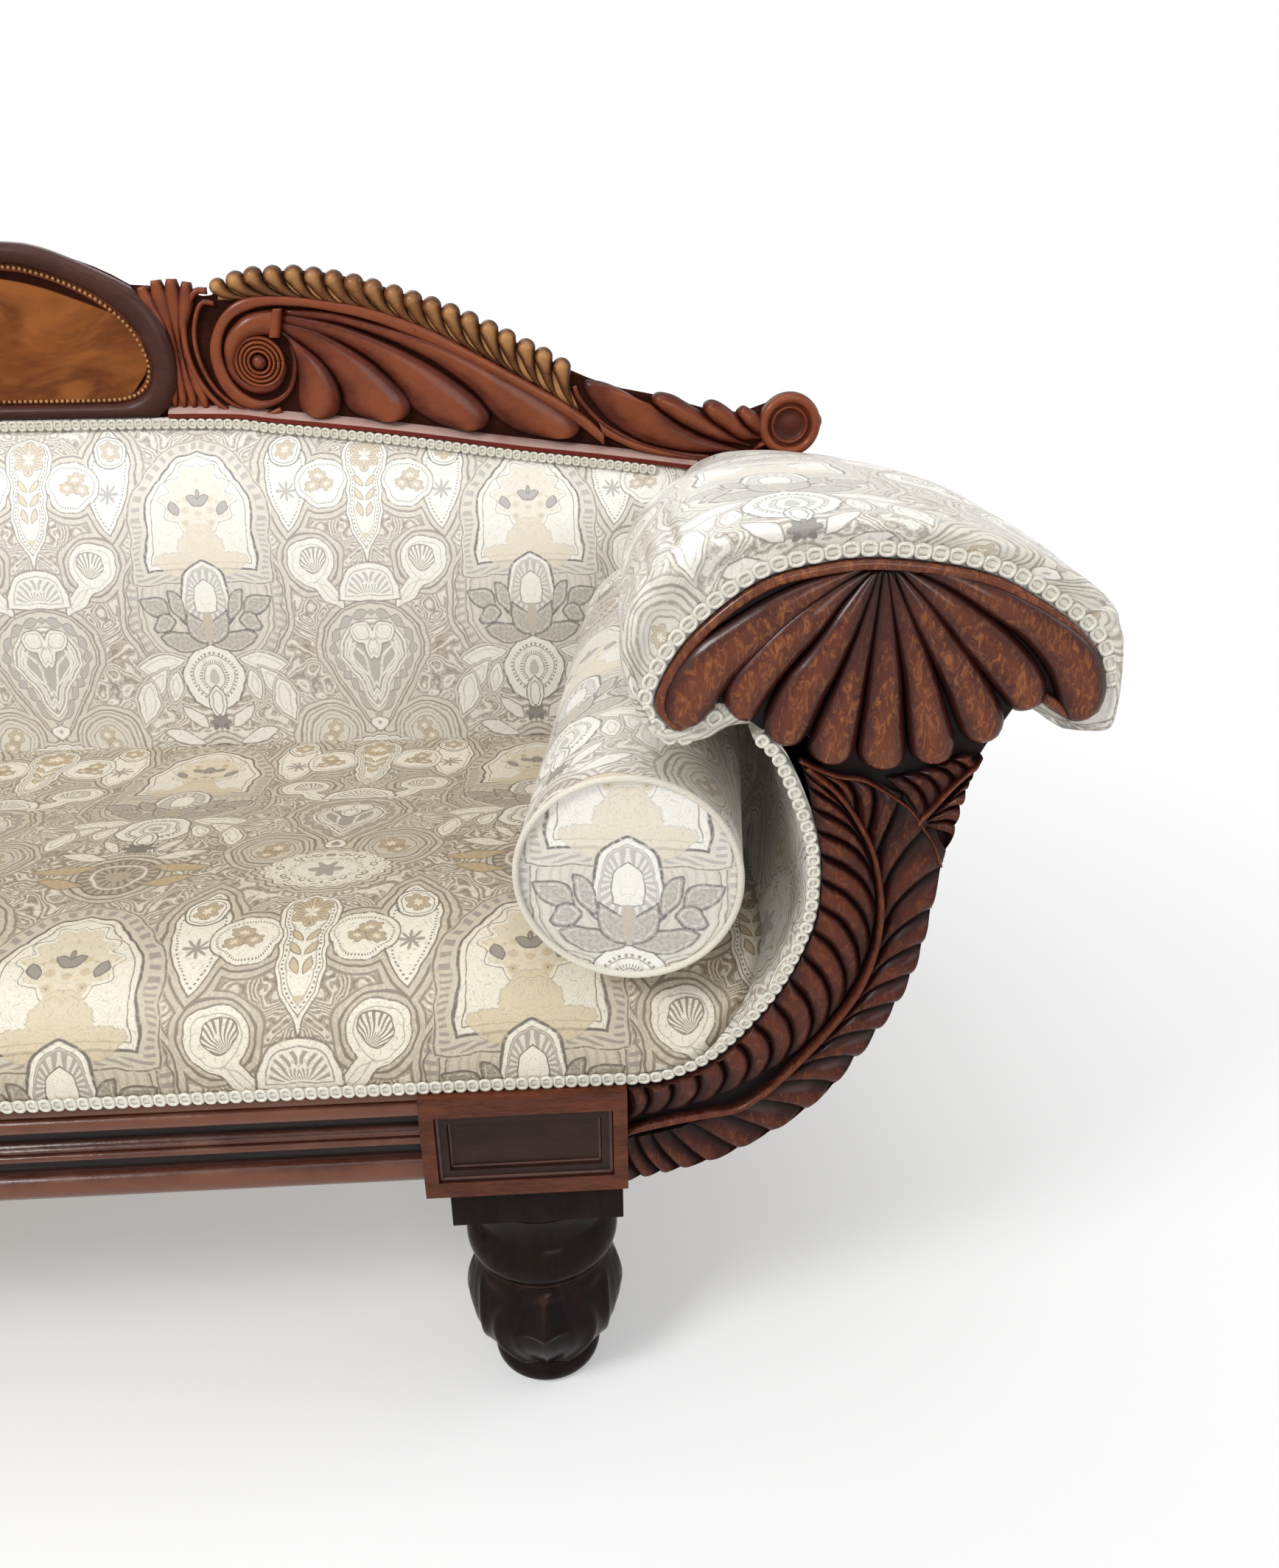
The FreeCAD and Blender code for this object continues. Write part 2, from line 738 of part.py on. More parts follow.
def leaf_lobes():
    """The acanthus leaf: a raised midrib with lobes that run out and down from it."""
    face = float(behind(d.carving_relief))
    rib = spline(at_depth(arm(MIDRIB), face))
    inner = spline(at_depth(arm(ARM_INNER), face))
    outer = spline(at_depth(arm(ARM_OUTER), face))
    shapes = []
    rib_points = rib.discretize(Number=LEAF_PAIRS + 2)
    for start, end in zip(rib_points, rib_points[1:]):
        shapes.append(lobe(tuple(start), tuple(end), RIB_RADIUS - 0.1, RIB_RADIUS))
    for edge, radius in ((inner, INNER_LOBE), (outer, OUTER_LOBE)):
        tips = edge.discretize(Number=LEAF_PAIRS + 2)
        for index in range(1, LEAF_PAIRS + 1):
            root = rib_points[index + 1]
            reach = (tips[index] - root).normalize()
            start = root + reach * RIB_RADIUS * 1.5
            end = tips[index] - reach * (radius + 2)
            if (end - start).Length > radius:
                shapes.append(lobe((start.x, face + 1, start.z), (end.x, face + 3, end.z),
                                   LOBE_ROOT, radius))
    return [front_half(shape, face, d.carving_relief) for shape in shapes]


def make_arm_facing(fan):
    """The scroll upright with its mushroom head, the leaf carved on the upright."""
    outline = arm_board_outline(0)
    face = behind(d.carving_relief)
    board = slab(outline, face, face + d.facing_thick)
    room = slab(outline, front, face)
    for shape in leaf_lobes():
        board = board.fuse(shape.common(room).cut(fan))
    return pair(shaped("arm_facing_right", board))


def fan_solid():
    """Nine lobes that spread from the hub over a thin backing of the head's outline."""
    face = float(behind(d.carving_relief))
    backing = float(d.fan_backing)
    radius = float(d.fan_tip_radius)
    hub_x, hub_z = arm([FAN_HUB])[0]
    head = [at_depth(arm(run)) for run in (FAN_TOP, FAN_RIGHT_HOOK[:4])]
    low = [at_depth(arm(FAN_FOOT)), at_depth(arm(FAN_LEFT_HOOK[2:]))]
    plate = slab(closed_wire(*head, *low), face - backing, face)
    for tip_x, tip_z in arm(FAN_TIPS):
        reach = V(tip_x - hub_x, 0, tip_z - hub_z)
        start = V(hub_x, face - 1, hub_z) + reach * 0.1
        end_y = face - backing + radius * 0.42
        shape = lobe(tuple(start), (tip_x, end_y, tip_z), 2, radius)
        plate = plate.fuse(front_half(shape, face - backing, d.carving_relief - backing))
    return plate


def make_arm_fan(fan):
    return pair(shaped("arm_fan_right", fan))


def arm_rear():
    """The front of the arm's rear frame, level with the front of the crest's carving."""
    return behind(d.board_front - d.carving_relief)


def arm_depth(share):
    """A depth between the face of the arm's front board and its rear frame."""
    start = behind(d.carving_relief)
    return start + (arm_rear() - start) * share


def outboard(shape):
    """What lies beyond the outer side of the leg block."""
    side = float(d.block_inner) + float(d.block_width)
    deep = float(d.depth_overall)
    return shape.common(Part.makeBox(deep, deep, 2 * deep, V(side, float(front), 0)))


def arm_loft(section, start=0.0):
    """Loft a section of unit-grid runs from the front of the arm to its rear frame."""
    wires = []
    for station, share in ((start, 0.0),) + ROLL_STATIONS[1:]:
        y = arm_depth(station)
        runs = [at_depth(tapered(run, share), y) for run in section]
        wires.append(closed_wire(*runs))
    return Part.makeLoft(wires, True, False)


def nook():
    """The inner face of the padded arm, from the seat up to the lip of the roll."""
    return shifted(arm(ARM_INNER), float(d.pad_proud))


def arm_envelope():
    """Everything outboard of the nook's face, to trim the seat and the back against."""
    face = nook()
    far = face[0][0] + 2 * float(d.arm_reach)
    low = float(d.rail_bottom)
    wires = []
    for station, share in ((-0.05, 0.0),) + ROLL_STATIONS[1:-1] + ((1.05, 1.0),):
        y = float(arm_depth(station))
        run = tapered(face, share)
        high = run[-1][1]
        edges = [spline(at_depth(run, y)).toShape()]
        corners = [run[-1], (run[-1][0] - 90, high + 160), (far, high + 160), (far, low),
                   (run[0][0], low), run[0]]
        for start, end in zip(corners, corners[1:]):
            edges.append(Part.makeLine(V(start[0], y, start[1]), V(end[0], y, end[1])))
        wires.append(Part.Wire(edges))
    return Part.makeLoft(wires, True, False)


def stretcher_places():
    """Where the three rails of the arm run, as (x, z) of their lower inner corners."""
    return arm([(0.105, 0.074), (0.55, 0.45), (0.5, 0.79)])


def make_stretchers():
    side = d.stretcher
    start = behind(d.carving_relief + d.facing_thick)
    bars = []
    for number, (x, z) in enumerate(stretcher_places(), 1):
        bars.append(box(f"stretcher_{number}", (x, x + side), (start, arm_rear()),
                        (z, z + side)))
    return pair(joined("arm_stretchers_right", "Part::Compound", bars))


def make_rear_arm_frame(crest, tip):
    """The plain board at the arm's rear end, cut away where the crest laps over it."""
    board = slab(arm_board_outline(1), arm_rear(), behind(d.board_back))
    board = board.cut(crest.Shape).cut(tip)
    return pair(shaped("rear_arm_frame_right", largest(board)))


def front_board():
    face = behind(d.carving_relief)
    return slab(arm_board_outline(0), face - 1, face + d.facing_thick)


def largest(shape):
    return sorted(shape.Solids, key=lambda solid: solid.Volume)[-1]


def make_arm_pad(stretchers):
    """The stuffed lining of the scroll, from the seat up to the lip of the roll."""
    face = nook()
    bed = shifted(arm(ARM_INNER), -float(d.pad_bed))
    body = outboard(arm_loft((face, bed[::-1]))).cut(front_board()).cut(stretchers.Shape)
    return pair(shaped("arm_pad_right", largest(body)))


def make_arm_roll(stretchers, pads):
    """The mushroom roll over the arm, which sinks and narrows towards the back."""
    body = arm_loft((arm(ROLL_OUTLINE),)).cut(front_board())
    body = body.cut(pads.Shape).cut(stretchers.Shape)
    return pair(shaped("arm_roll_right", largest(body)))


def make_arm_cover(roll):
    """The covered outside of the arm, from under the roll down to the rail."""
    edge = arm(ARM_OUTER)
    inside = shifted(edge, float(d.outer_cover_thick))
    start = float(d.facing_thick) / float(arm_rear() - behind(d.carving_relief))
    body = outboard(arm_loft((edge, inside[::-1]), start)).cut(roll.Shape)
    return pair(shaped("arm_outer_cover_right", largest(body)))


# Seat and back upholstery. The seat's lip lies this far behind the front plane.
SEAT_LIP = 12


def make_seat(envelopes, back):
    bottom = d.rail_top + d.web_thick
    crown = float(d.seat_crown)
    rear = crown - float(d.seat_rear_drop)
    profile = [(SEAT_LIP, float(bottom)), (17, crown - float(d.seat_front_drop)),
               (38, crown - 27), (70, crown - 7), (110, crown - 1), (170, crown),
               (280, crown - 10), (400, crown - 32), (480, rear + 3),
               (float(d.back_foot) + 5, rear)]
    half = float(d.block_inner) + float(d.block_width) + 0.45 * float(d.arm_reach)
    curve = [(-half, float(behind(y)), z) for y, z in profile]
    wire = closed_wire(curve, [(-half, curve[-1][1], float(bottom)), curve[0]])
    solid = Part.Face(wire).extrude(V(2 * half, 0, 0))
    for other in envelopes + [back.Shape]:
        solid = solid.cut(other)
    return kept(shaped("seat_pad", largest(solid)))


# How far back the upholstered back's top edge lies, as a share of its depth at the foot
BACK_EDGE = 0.9


def back_section(x, top):
    """The back's section: full at the foot, rolling over to meet the crest."""
    bottom = float(d.rail_top + d.web_thick)
    foot = float(d.back_foot)
    rear = float(d.board_front)
    rise = top - bottom
    deep = rear - foot
    shape = [(0.0, 0.0), (0.0, 0.13), (0.06, 0.38), (0.22, 0.62), (0.46, 0.81), (0.74, 0.92),
             (BACK_EDGE, 0.965)]
    front_run = [(x, float(behind(foot + deep * u)), bottom + rise * v) for u, v in shape]
    top_front = (x, front_run[-1][1], top)
    top_back = (x, float(behind(rear)), top)
    low_back = (x, float(behind(rear)), bottom)
    return closed_wire(front_run, [top_front, top_back], [low_back, front_run[0]])


def make_back_pad(neighbours):
    half = float(d.block_inner) + float(d.block_width) + 0.52 * float(d.arm_reach)
    line = crest_base_line()
    places = [(-x, z) for x, z in line[:0:-1] if x < half - 20] + line[:1]
    places = [(-half, line[-3][1])] + places
    places = places + [(-x, z) for x, z in places[-2::-1]]
    wires = [back_section(x, z - float(d.soft_gap)) for x, z in places]
    solid = Part.makeLoft(wires, True, True)
    for other in neighbours:
        solid = solid.cut(other)
    return kept(shaped("back_pad", largest(solid)))


# Crest outlines on a unit grid: across by wing_length, up by wing_rise
WING_BASE = ((0.0, 0.0), (0.128, -0.045), (0.312, -0.144), (0.498, -0.267), (0.641, -0.349),
             (0.797, -0.45))
GADROON_LINE = ((0.044, 0.842), (0.141, 0.993), (0.351, 0.808), (0.464, 0.589), (0.576, 0.315))
BAND_TOP = ((0.0, 0.548), (0.029, 0.705), (0.08, 0.781), (0.121, 0.815), (0.181, 0.801),
            (0.303, 0.692), (0.424, 0.486), (0.548, 0.185), (0.641, -0.158))
BRAID_END = (0.735, -0.413)
VOLUTE = (0.106, 0.356)
COLLAR = (0.152, 0.637)
LEAF_TIPS = ((0.189, 0.09), (0.306, 0.06), (0.432, 0.005), (0.562, -0.075))
TIP_TOP = ((0.6, 0.26), (0.675, 0.144), (0.742, 0.08), (0.8, 0.0), (0.87, -0.04), (0.905, -0.06))
TIP_LOBES = ((0.655, 0.11), (0.735, 0.055), (0.79, 0.0), (0.84, -0.02), (0.885, -0.05))
ROUNDEL = (0.95, -0.144)


def wing(points):
    return [(float(d.wing_start) + u * float(d.wing_length),
             float(d.crest_base) + v * float(d.wing_rise)) for u, v in points]


def crest_base_line():
    """The lower edge of the crest from the middle outwards, as (x, z)."""
    return [(0.0, float(d.crest_base))] + wing(WING_BASE)


def arch_outline(inset):
    """The tablet's arched outline from lower right, over the top, to lower left."""
    half = float(d.arch_half_width) - inset
    top = float(d.crest_base + d.arch_rise) - inset
    shoulder = float(d.crest_base + d.arch_shoulder_rise)
    low = float(d.crest_base) + inset * 0.6
    side = [(half - 21, low), (half - 6, low + 18), (half, shoulder), (half - 8, shoulder + 48),
            (half - 39, shoulder + (top - shoulder) * 0.65),
            (half - 93, shoulder + (top - shoulder) * 0.85),
            (half - 154, shoulder + (top - shoulder) * 0.96)]
    return side + [(0, top)] + [(-x, z) for x, z in side[::-1]]


def make_crest_rail():
    """The board behind all the carving, in one length."""
    inset = float(d.board_inset)
    low_run = wing(WING_BASE)
    roundel_x, roundel_z = wing([ROUNDEL])[0]
    radius = float(d.roundel_radius) - inset
    end = [low_run[-1], (roundel_x - 10, roundel_z - radius + 2),
           (roundel_x + radius, roundel_z), (roundel_x, roundel_z + radius)]
    top = [(x, z - inset) for x, z in wing(GADROON_LINE + TIP_TOP[1:5])]
    arch = [point for point in arch_outline(inset) if point[1] > top[0][1]]
    flute_x = float(d.arch_half_width)
    flute_z = float(d.crest_base) + float(d.flute_height)
    flute_top = [(flute_x + 30, flute_z - 14), (flute_x - 14, flute_z - inset)]
    runs = [low_run, end, [end[-1], top[-1]], top[::-1], [top[0], flute_top[0]], flute_top,
            [flute_top[1], arch[0]]]
    left = [[(-x, z) for x, z in run[::-1]] for run in runs[::-1]]
    outline = runs + [arch] + left + [[(-low_run[0][0], low_run[0][1]), low_run[0]]]
    wire = closed_wire(*[at_depth(run) for run in outline])
    board = slab(wire, behind(d.board_front), behind(d.board_back))
    return kept(shaped("crest_rail", board))


def on_board(outline, relief):
    return slab(outline, behind(d.board_front) - relief, behind(d.board_front))


def make_arch():
    """Rounded cross-banded frame round the tablet, with the panel and its string of beads."""
    relief = float(d.carving_relief)
    outer = closed_wire(at_depth(arch_outline(0)))
    band = float(d.arch_frame)
    inner = closed_wire(at_depth(arch_outline(band)))
    ring = on_board(outer, relief).cut(on_board(inner, relief))
    kept(shaped("crest_arch", ring))
    bead = float(d.panel_set)
    string_inner = closed_wire(at_depth(arch_outline(band + bead)))
    string = on_board(inner, relief * 0.6).cut(on_board(string_inner, relief))
    kept(shaped("crest_bead_string", string))
    kept(shaped("crest_panel", on_board(string_inner, relief * 0.35)))


def make_flutes():
    """A waisted bundle of reeds between the tablet and the wing."""
    base = float(d.crest_base)
    face = float(behind(d.board_front))
    backing = float(d.fan_backing)
    inner_x = float(d.arch_half_width)
    high = base + float(d.flute_height)
    top = [(inner_x - 26, high - 20), (inner_x, high), (inner_x + 33, high - 8)]
    right = [top[-1], (inner_x + 15, base + 60), (inner_x + 22, base + 1)]
    foot = [right[-1], (inner_x - 20, base + 1)]
    wire = closed_wire(*[at_depth(run) for run in (top, right, foot)])
    bundle = on_board(wire, backing)
    count = 4
    for index in range(count):
        spread = index / (count - 1)
        waist = (inner_x + 3 + spread * 9, face - backing, base + 52)
        head = (inner_x - 10 + spread * 33, face - backing + 1, high - 20 - 6 * spread)
        heel = (inner_x - 4 + spread * 18, face - backing + 1, base + 8)
        for end, radius in ((head, 5.2), (heel, 2.9)):
            reed = lobe(waist, end, 1.2, radius)
            bundle = bundle.fuse(front_half(reed, face - backing, d.carving_relief - backing))
    return bundle


def band_region():
    """The ribbon that leaves the volute, passes over the leaves and runs out at the tip."""
    top = wing(BAND_TOP)
    under = shifted(top, -float(d.band_width))
    return closed_wire(at_depth(top), at_depth(under[::-1]))


def make_scroll():
    """The volute with its rings and boss, and the ribbon sweeping from it."""
    relief = float(d.carving_relief)
    face = float(behind(d.board_front))
    centre_x, centre_z = wing([VOLUTE])[0]
    radius = float(d.volute_radius)
    disc = Part.makeCylinder(radius, relief * 0.6, V(centre_x, face, centre_z), V(0, -1, 0))
    for share in (0.82, 0.62, 0.42):
        groove = Part.makeTorus(radius * share, 2.2, V(centre_x, face - relief * 0.6, centre_z),
                                V(0, 1, 0))
        disc = disc.cut(groove)
    boss = Part.makeSphere(radius * 0.2, V(centre_x, face - relief * 0.5, centre_z))
    outer_ring = Part.makeTorus(radius * 1.12, 6, V(centre_x, face - 1, centre_z), V(0, 1, 0))
    ribbon = on_board(band_region(), relief * 0.7)
    whole = disc.fuse([boss, front_half(outer_ring, face, relief), ribbon]).removeSplitter()
    return front_half(whole, face, relief)


def make_leaves(scroll):
    """Four long leaves that fall from the collar, the lower ones lapping under the next."""
    face = float(behind(d.board_front))
    root_x, root_z = wing([COLLAR])[0]
    leaves = None
    for index, (tip_x, tip_z) in enumerate(wing(LEAF_TIPS)):
        radius = 15 + 1.2 * index
        leaf = lobe((root_x, face + 1, root_z), (tip_x, face + radius * 0.35, tip_z), 3, radius)
        leaf = front_half(leaf, face, d.carving_relief)
        leaves = leaves.fuse(leaf) if leaves else leaf
    return leaves.cut(scroll)


def make_gadroons(scroll):
    """A row of drops along the upper edge, on a thin strip."""
    face = float(behind(d.board_front))
    backing = float(d.fan_backing)
    line = spline(at_depth(wing(GADROON_LINE)))
    count = int(round(float(d.gadroon_count)))
    radius = float(d.gadroon_radius)
    points = line.discretize(Number=count)
    crown = [(point.x, point.z - radius) for point in points[::3]]
    under = [(x + 16, z - 22) for x, z in crown]
    row = on_board(closed_wire(at_depth(crown), at_depth(under[::-1])), backing).cut(scroll)
    for point in points:
        bulb = (point.x, face - backing + 3, point.z - radius)
        tail = (point.x + 20, face - backing + 1, point.z - radius - 28)
        drop = front_half(lobe(tail, bulb, 2, radius), face - backing,
                          d.carving_relief - backing)
        row = row.fuse(drop.cut(scroll))
    return row


def make_tip(others):
    """A lobed leaf that runs down to the roundel at the end of the crest."""
    face = float(behind(d.board_front))
    relief = float(d.carving_relief)
    centre_x, centre_z = wing([ROUNDEL])[0]
    radius = float(d.roundel_radius)
    profile = [(0, 0), (radius, 0), (radius, relief * 0.6), (radius * 0.88, relief * 0.85),
               (radius * 0.74, relief * 0.6), (radius * 0.36, relief * 0.42),
               (radius * 0.3, relief * 0.62), (0, relief * 0.75)]
    wire = Part.makePolygon([V(r, 0, h) for r, h in profile + profile[:1]])
    roundel = Part.Face(wire).revolve(V(0, 0, 0), V(0, 0, 1), 360)
    roundel.Placement = FreeCAD.Placement(V(centre_x, face, centre_z),
                                          FreeCAD.Rotation(V(0, 0, 1), V(0, -1, 0)))
    root_x = centre_x - radius * 0.8
    root_z = centre_z - radius * 0.75
    tip = roundel
    for index, (tip_x, tip_z) in enumerate(wing(TIP_LOBES)):
        size = 14 - 2 * index
        leaf = lobe((root_x, face + 1, root_z), (tip_x, face + size * 0.3, tip_z), 3, size)
        tip = tip.fuse(front_half(leaf, face, relief).cut(roundel))
    for other in others:
        tip = tip.cut(other)
    return tip


def make_wing():
    scroll = make_scroll()
    flutes = make_flutes()
    leaves = make_leaves(scroll)
    gadroons = make_gadroons(scroll)
    tip = make_tip((scroll, gadroons, leaves))
    arch = on_board(closed_wire(at_depth(arch_outline(0))), float(d.carving_relief))
    flutes = flutes.cut(arch).cut(scroll).cut(gadroons)
    for name, shape in (("crest_scroll", scroll), ("crest_reeds", flutes),
                        ("crest_leaves", leaves), ("crest_gadroons", gadroons),
                        ("crest_tip", tip)):
        pair(shaped(f"{name}_right", shape))
    return tip


def make_back_frame(crest):
    low = d.rail_top
    full = (behind(d.board_front), behind(d.board_back))
    centre = d.stile_x
    half = d.stile_width / 2
    post = box("stile_post", (centre - half, centre + half), full, (low, d.crest_base))
    pair(cut("back_stile_right", post, crest))
    kept(box("back_muntin", (-half, half), full, (low, d.crest_base)))


def make_back_cover():
    """The covered outside back, from the seat rail up to the foot of the crest."""
    top = wing(WING_BASE)
    edge = tapered(arm(ARM_OUTER), 1)
    runs = [edge, [edge[-1], top[-1]], top[::-1]]
    left = [[(-x, z) for x, z in run[::-1]] for run in runs[::-1]]
    outline = runs + [[top[0], (-top[0][0], top[0][1])]] + left
    outline = outline + [[(-edge[0][0], edge[0][1]), edge[0]]]
    wire = closed_wire(*[at_depth(run) for run in outline])
    back = behind(d.board_back)
    return kept(shaped("back_outer_cover", slab(wire, back, back + d.cover_thick)))


# Braids
def make_braids(fan):
    """Flat braid along the seat's lower edge, round each arm's face and under the crest."""
    reach = d.block_inner + d.block_width
    low = d.rail_top + d.web_thick
    face = behind(SEAT_LIP)
    kept(box("gimp_seat", (-reach, reach), (face - d.gimp_thick, face),
             (low, low + d.gimp_height)))
    thick = float(d.gimp_thick)
    wide = float(d.gimp_height)
    nook_edge = arm(ARM_INNER)
    crown_edge = arm(FAN_LEFT_HOOK[2:-1] + FAN_TOP)
    face = float(behind(d.carving_relief))
    strips = []
    for edge, width in ((nook_edge, float(d.pad_proud)), (crown_edge, wide)):
        near = shifted(edge, float(d.soft_gap))
        far = shifted(edge, width)
        strip = outboard(slab(closed_wire(at_depth(near), at_depth(far[::-1])), face - thick, face))
        strips.append(largest(strip.cut(fan)))
    pair(shaped("gimp_arm_right", Part.makeCompound(strips)))
    line = wing(WING_BASE[:-1] + (BRAID_END,))
    base = [(x, z - float(d.soft_gap)) for x, z in line]
    under = [(x, z - wide) for x, z in base]
    runs = [base, under[::-1], [(-x, z) for x, z in under], [(-x, z) for x, z in base[::-1]]]
    wire = closed_wire(*[at_depth(run) for run in runs])
    deep = float(d.board_front) - float(d.back_foot)
    edge_y = float(behind(d.back_foot)) + deep * BACK_EDGE
    kept(shaped("gimp_back", slab(wire, edge_y - thick, edge_y)))


# Loose bolsters
def make_bolster():
    radius = d.bolster_radius
    length = d.bolster_length
    bevel = d.bolster_bevel
    corners = [(0, 0), (radius - bevel, 0), (radius, bevel), (radius, length - bevel),
               (radius - bevel, length), (0, length)]
    body = turned("bolster_roll", corners)
    doc.recompute()
    seam = float(bevel) / 2
    piping = Part.makeCompound([
        Part.makeTorus(float(radius) - seam, float(d.piping_radius), V(0, 0, level))
        for level in (seam, float(length) - seam)
    ])
    solid = body.Shape.cut(piping)
    tilt = FreeCAD.Rotation(V(0, 0, 1), -float(d.bolster_yaw))
    turn = tilt.multiply(FreeCAD.Rotation(V(1, 0, 0), -90))
    height = float(d.seat_crown + d.bolster_lift + radius)
    place = FreeCAD.Placement(V(float(d.bolster_x), float(behind(d.bolster_front)), height), turn)
    for name, shape in (("bolster_right", solid), ("bolster_piping_right", piping)):
        feature = shaped(name, shape)
        feature.Placement = place
        pair(feature)


def make_all():
    make_front_rail()
    make_moulding()
    make_leg_block()
    make_front_leg()
    make_rear_leg()
    make_back_rail()
    make_side_rail()
    make_bearers()
    make_webbing()
    crest = make_crest_rail()
    make_arch()
    tip = make_wing()
    make_back_frame(crest)
    make_back_cover()
    fan = fan_solid()
    make_arm_facing(fan)
    make_arm_fan(fan)
    stretchers, _ = make_stretchers()
    doc.recompute()
    rear_frame, _ = make_rear_arm_frame(crest, tip)
    pads, _ = make_arm_pad(stretchers)
    roll, _ = make_arm_roll(stretchers, pads)
    make_arm_cover(roll)
    envelopes = both_sides([arm_envelope()])
    arm_parts = both_sides([piece.Shape for piece in (rear_frame, pads, roll)])
    back = make_back_pad(envelopes + arm_parts)
    make_seat(envelopes, back)
    make_braids(fan)
    make_bolster()


def check_and_write():
    doc.recompute()
    for thing in doc.Objects:
        if {"Invalid", "Error"} & set(thing.State):
            raise RuntimeError(f"{thing.Label} failed: {thing.State}")
    faulty = [node.Label for node in nodes
              if node.Shape.isNull() or not node.Shape.isValid() or node.Shape.Volume < 1]
    if faulty:
        raise RuntimeError(f"no valid solid: {', '.join(faulty)}")
    os.makedirs("parts", exist_ok=True)
    for node in nodes:
        node.Shape.exportStep(f"parts/{node.Label}.step")
    print(len(nodes), "nodes written")


make_all()
check_and_write()
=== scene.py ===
"""The double-ended sofa: carved mahogany, figured cloth, plain studio light."""

import math

import bmesh
import bpy
import numpy as np
from mathutils import Matrix, Vector


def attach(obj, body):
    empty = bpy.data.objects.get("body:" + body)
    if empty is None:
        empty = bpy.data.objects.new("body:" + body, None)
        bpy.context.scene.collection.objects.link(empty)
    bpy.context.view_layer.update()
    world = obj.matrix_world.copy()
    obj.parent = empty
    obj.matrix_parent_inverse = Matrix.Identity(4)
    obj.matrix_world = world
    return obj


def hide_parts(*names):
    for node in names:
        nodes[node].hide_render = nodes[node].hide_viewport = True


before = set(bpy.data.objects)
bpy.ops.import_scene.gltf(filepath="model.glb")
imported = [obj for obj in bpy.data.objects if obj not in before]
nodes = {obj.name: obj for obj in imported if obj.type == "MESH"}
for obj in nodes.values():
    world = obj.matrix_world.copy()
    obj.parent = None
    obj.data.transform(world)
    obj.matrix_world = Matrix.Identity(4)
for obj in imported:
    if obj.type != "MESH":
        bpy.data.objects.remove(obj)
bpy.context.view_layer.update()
MM = 0.001

# Levels and planes of the sofa, in millimetres, as in its parts
FRONT = -355.0
RELIEF = 14.0
FACE = FRONT + RELIEF
FACING_BACK = FACE + 24.0
REAR_FRAME = FRONT + 650.0
BOARD = FRONT + 664.0
BOARD_BACK = FRONT + 690.0
BACK_FOOT = FRONT + 565.0
RAIL_LOW, RAIL_TOP = 250.0, 343.0
BLOCK_MIDDLE = (RAIL_LOW + RAIL_TOP) / 2
SEAT_BASE = 345.0
BLOCK_IN, BLOCK_OUT = 608.0, 766.0
ARM_REACH, ARM_RISE = 324.0, 502.0
BACK_REACH = 905.0
LINING_PROUD = 9.0


# Curves and meshes
def spline(points, count):
    """Evenly spaced points on a smooth curve through pairs, or through a flat list of them."""
    p = flat_pairs(points)
    if len(p) == 2:
        return p[0] + (p[1] - p[0]) * np.linspace(0, 1, count)[:, None]
    padded = np.vstack([2 * p[0] - p[1], p, 2 * p[-1] - p[-2]])
    fine = []
    for i in range(1, len(padded) - 2):
        a, b, c, e = padded[i - 1:i + 3]
        t = np.linspace(0, 1, 16, endpoint=False)[:, None]
        fine.append(0.5 * (2 * b + (c - a) * t + (2 * a - 5 * b + 4 * c - e) * t ** 2
                           + (3 * b - a - 3 * c + e) * t ** 3))
    return even(np.vstack(fine + [p[-1:]]), count)


def flat_pairs(numbers):
    return np.asarray(numbers, float).reshape(-1, 2)


def arc_length(line):
    return np.concatenate([[0], np.cumsum(np.linalg.norm(np.diff(line, axis=0), axis=1))])


def sampled(line, at, run):
    """A polyline's points at the places at, where run is each given point's place."""
    return np.stack([np.interp(at, run, line[:, k]) for k in range(line.shape[1])], 1)


def even(line, count):
    """A polyline resampled at even steps of its length."""
    run = arc_length(line)
    return sampled(line, np.linspace(0, 1, count) * run[-1], run)


def both_halves(line):
    """A line from the middle and back to it, with its mirror image."""
    return np.vstack([line, (line * (-1, 1))[-2:0:-1]])


def normals_2d(line):
    """Unit normals to the left of a line's direction."""
    along = np.gradient(line, axis=0)
    along /= np.linalg.norm(along, axis=1)[:, None] + 1e-9
    return np.stack([-along[:, 1], along[:, 0]], 1)


def shifted(line, distance):
    return line + normals_2d(line) * distance


def placed(name, mesh):
    """A smoothly shaded object of the mesh, in the scene."""
    mesh.polygons.foreach_set("use_smooth", [True] * len(mesh.polygons))
    obj = bpy.data.objects.new(name, mesh)
    bpy.context.scene.collection.objects.link(obj)
    return obj


def set_wear_and_light(mesh, values):
    """How rubbed and how lit each point is: 0 in a dirty hollow with painted shade, 1 on a worn
    top with a painted highlight.
    """
    layer = mesh.attributes.new("wear_and_light", "FLOAT", "POINT")
    layer.data.foreach_set("value", np.asarray(values, np.float32).ravel())


def mesh_object(name, points, faces, uv=None, wear_and_light=None):
    """A mesh from points in millimetres, with outward normals."""
    mesh = bpy.data.meshes.new(name)
    mesh.from_pydata((np.asarray(points, float) * MM).tolist(), [], faces)
    if uv is not None:
        layer = mesh.uv_layers.new(name="UVMap")
        layer.data.foreach_set("uv", np.asarray(uv, np.float32).ravel())
    if wear_and_light is not None:
        set_wear_and_light(mesh, wear_and_light)
    work = bmesh.new()
    work.from_mesh(mesh)
    bmesh.ops.recalc_face_normals(work, faces=work.faces)
    work.to_mesh(mesh)
    work.free()
    return placed(name, mesh)


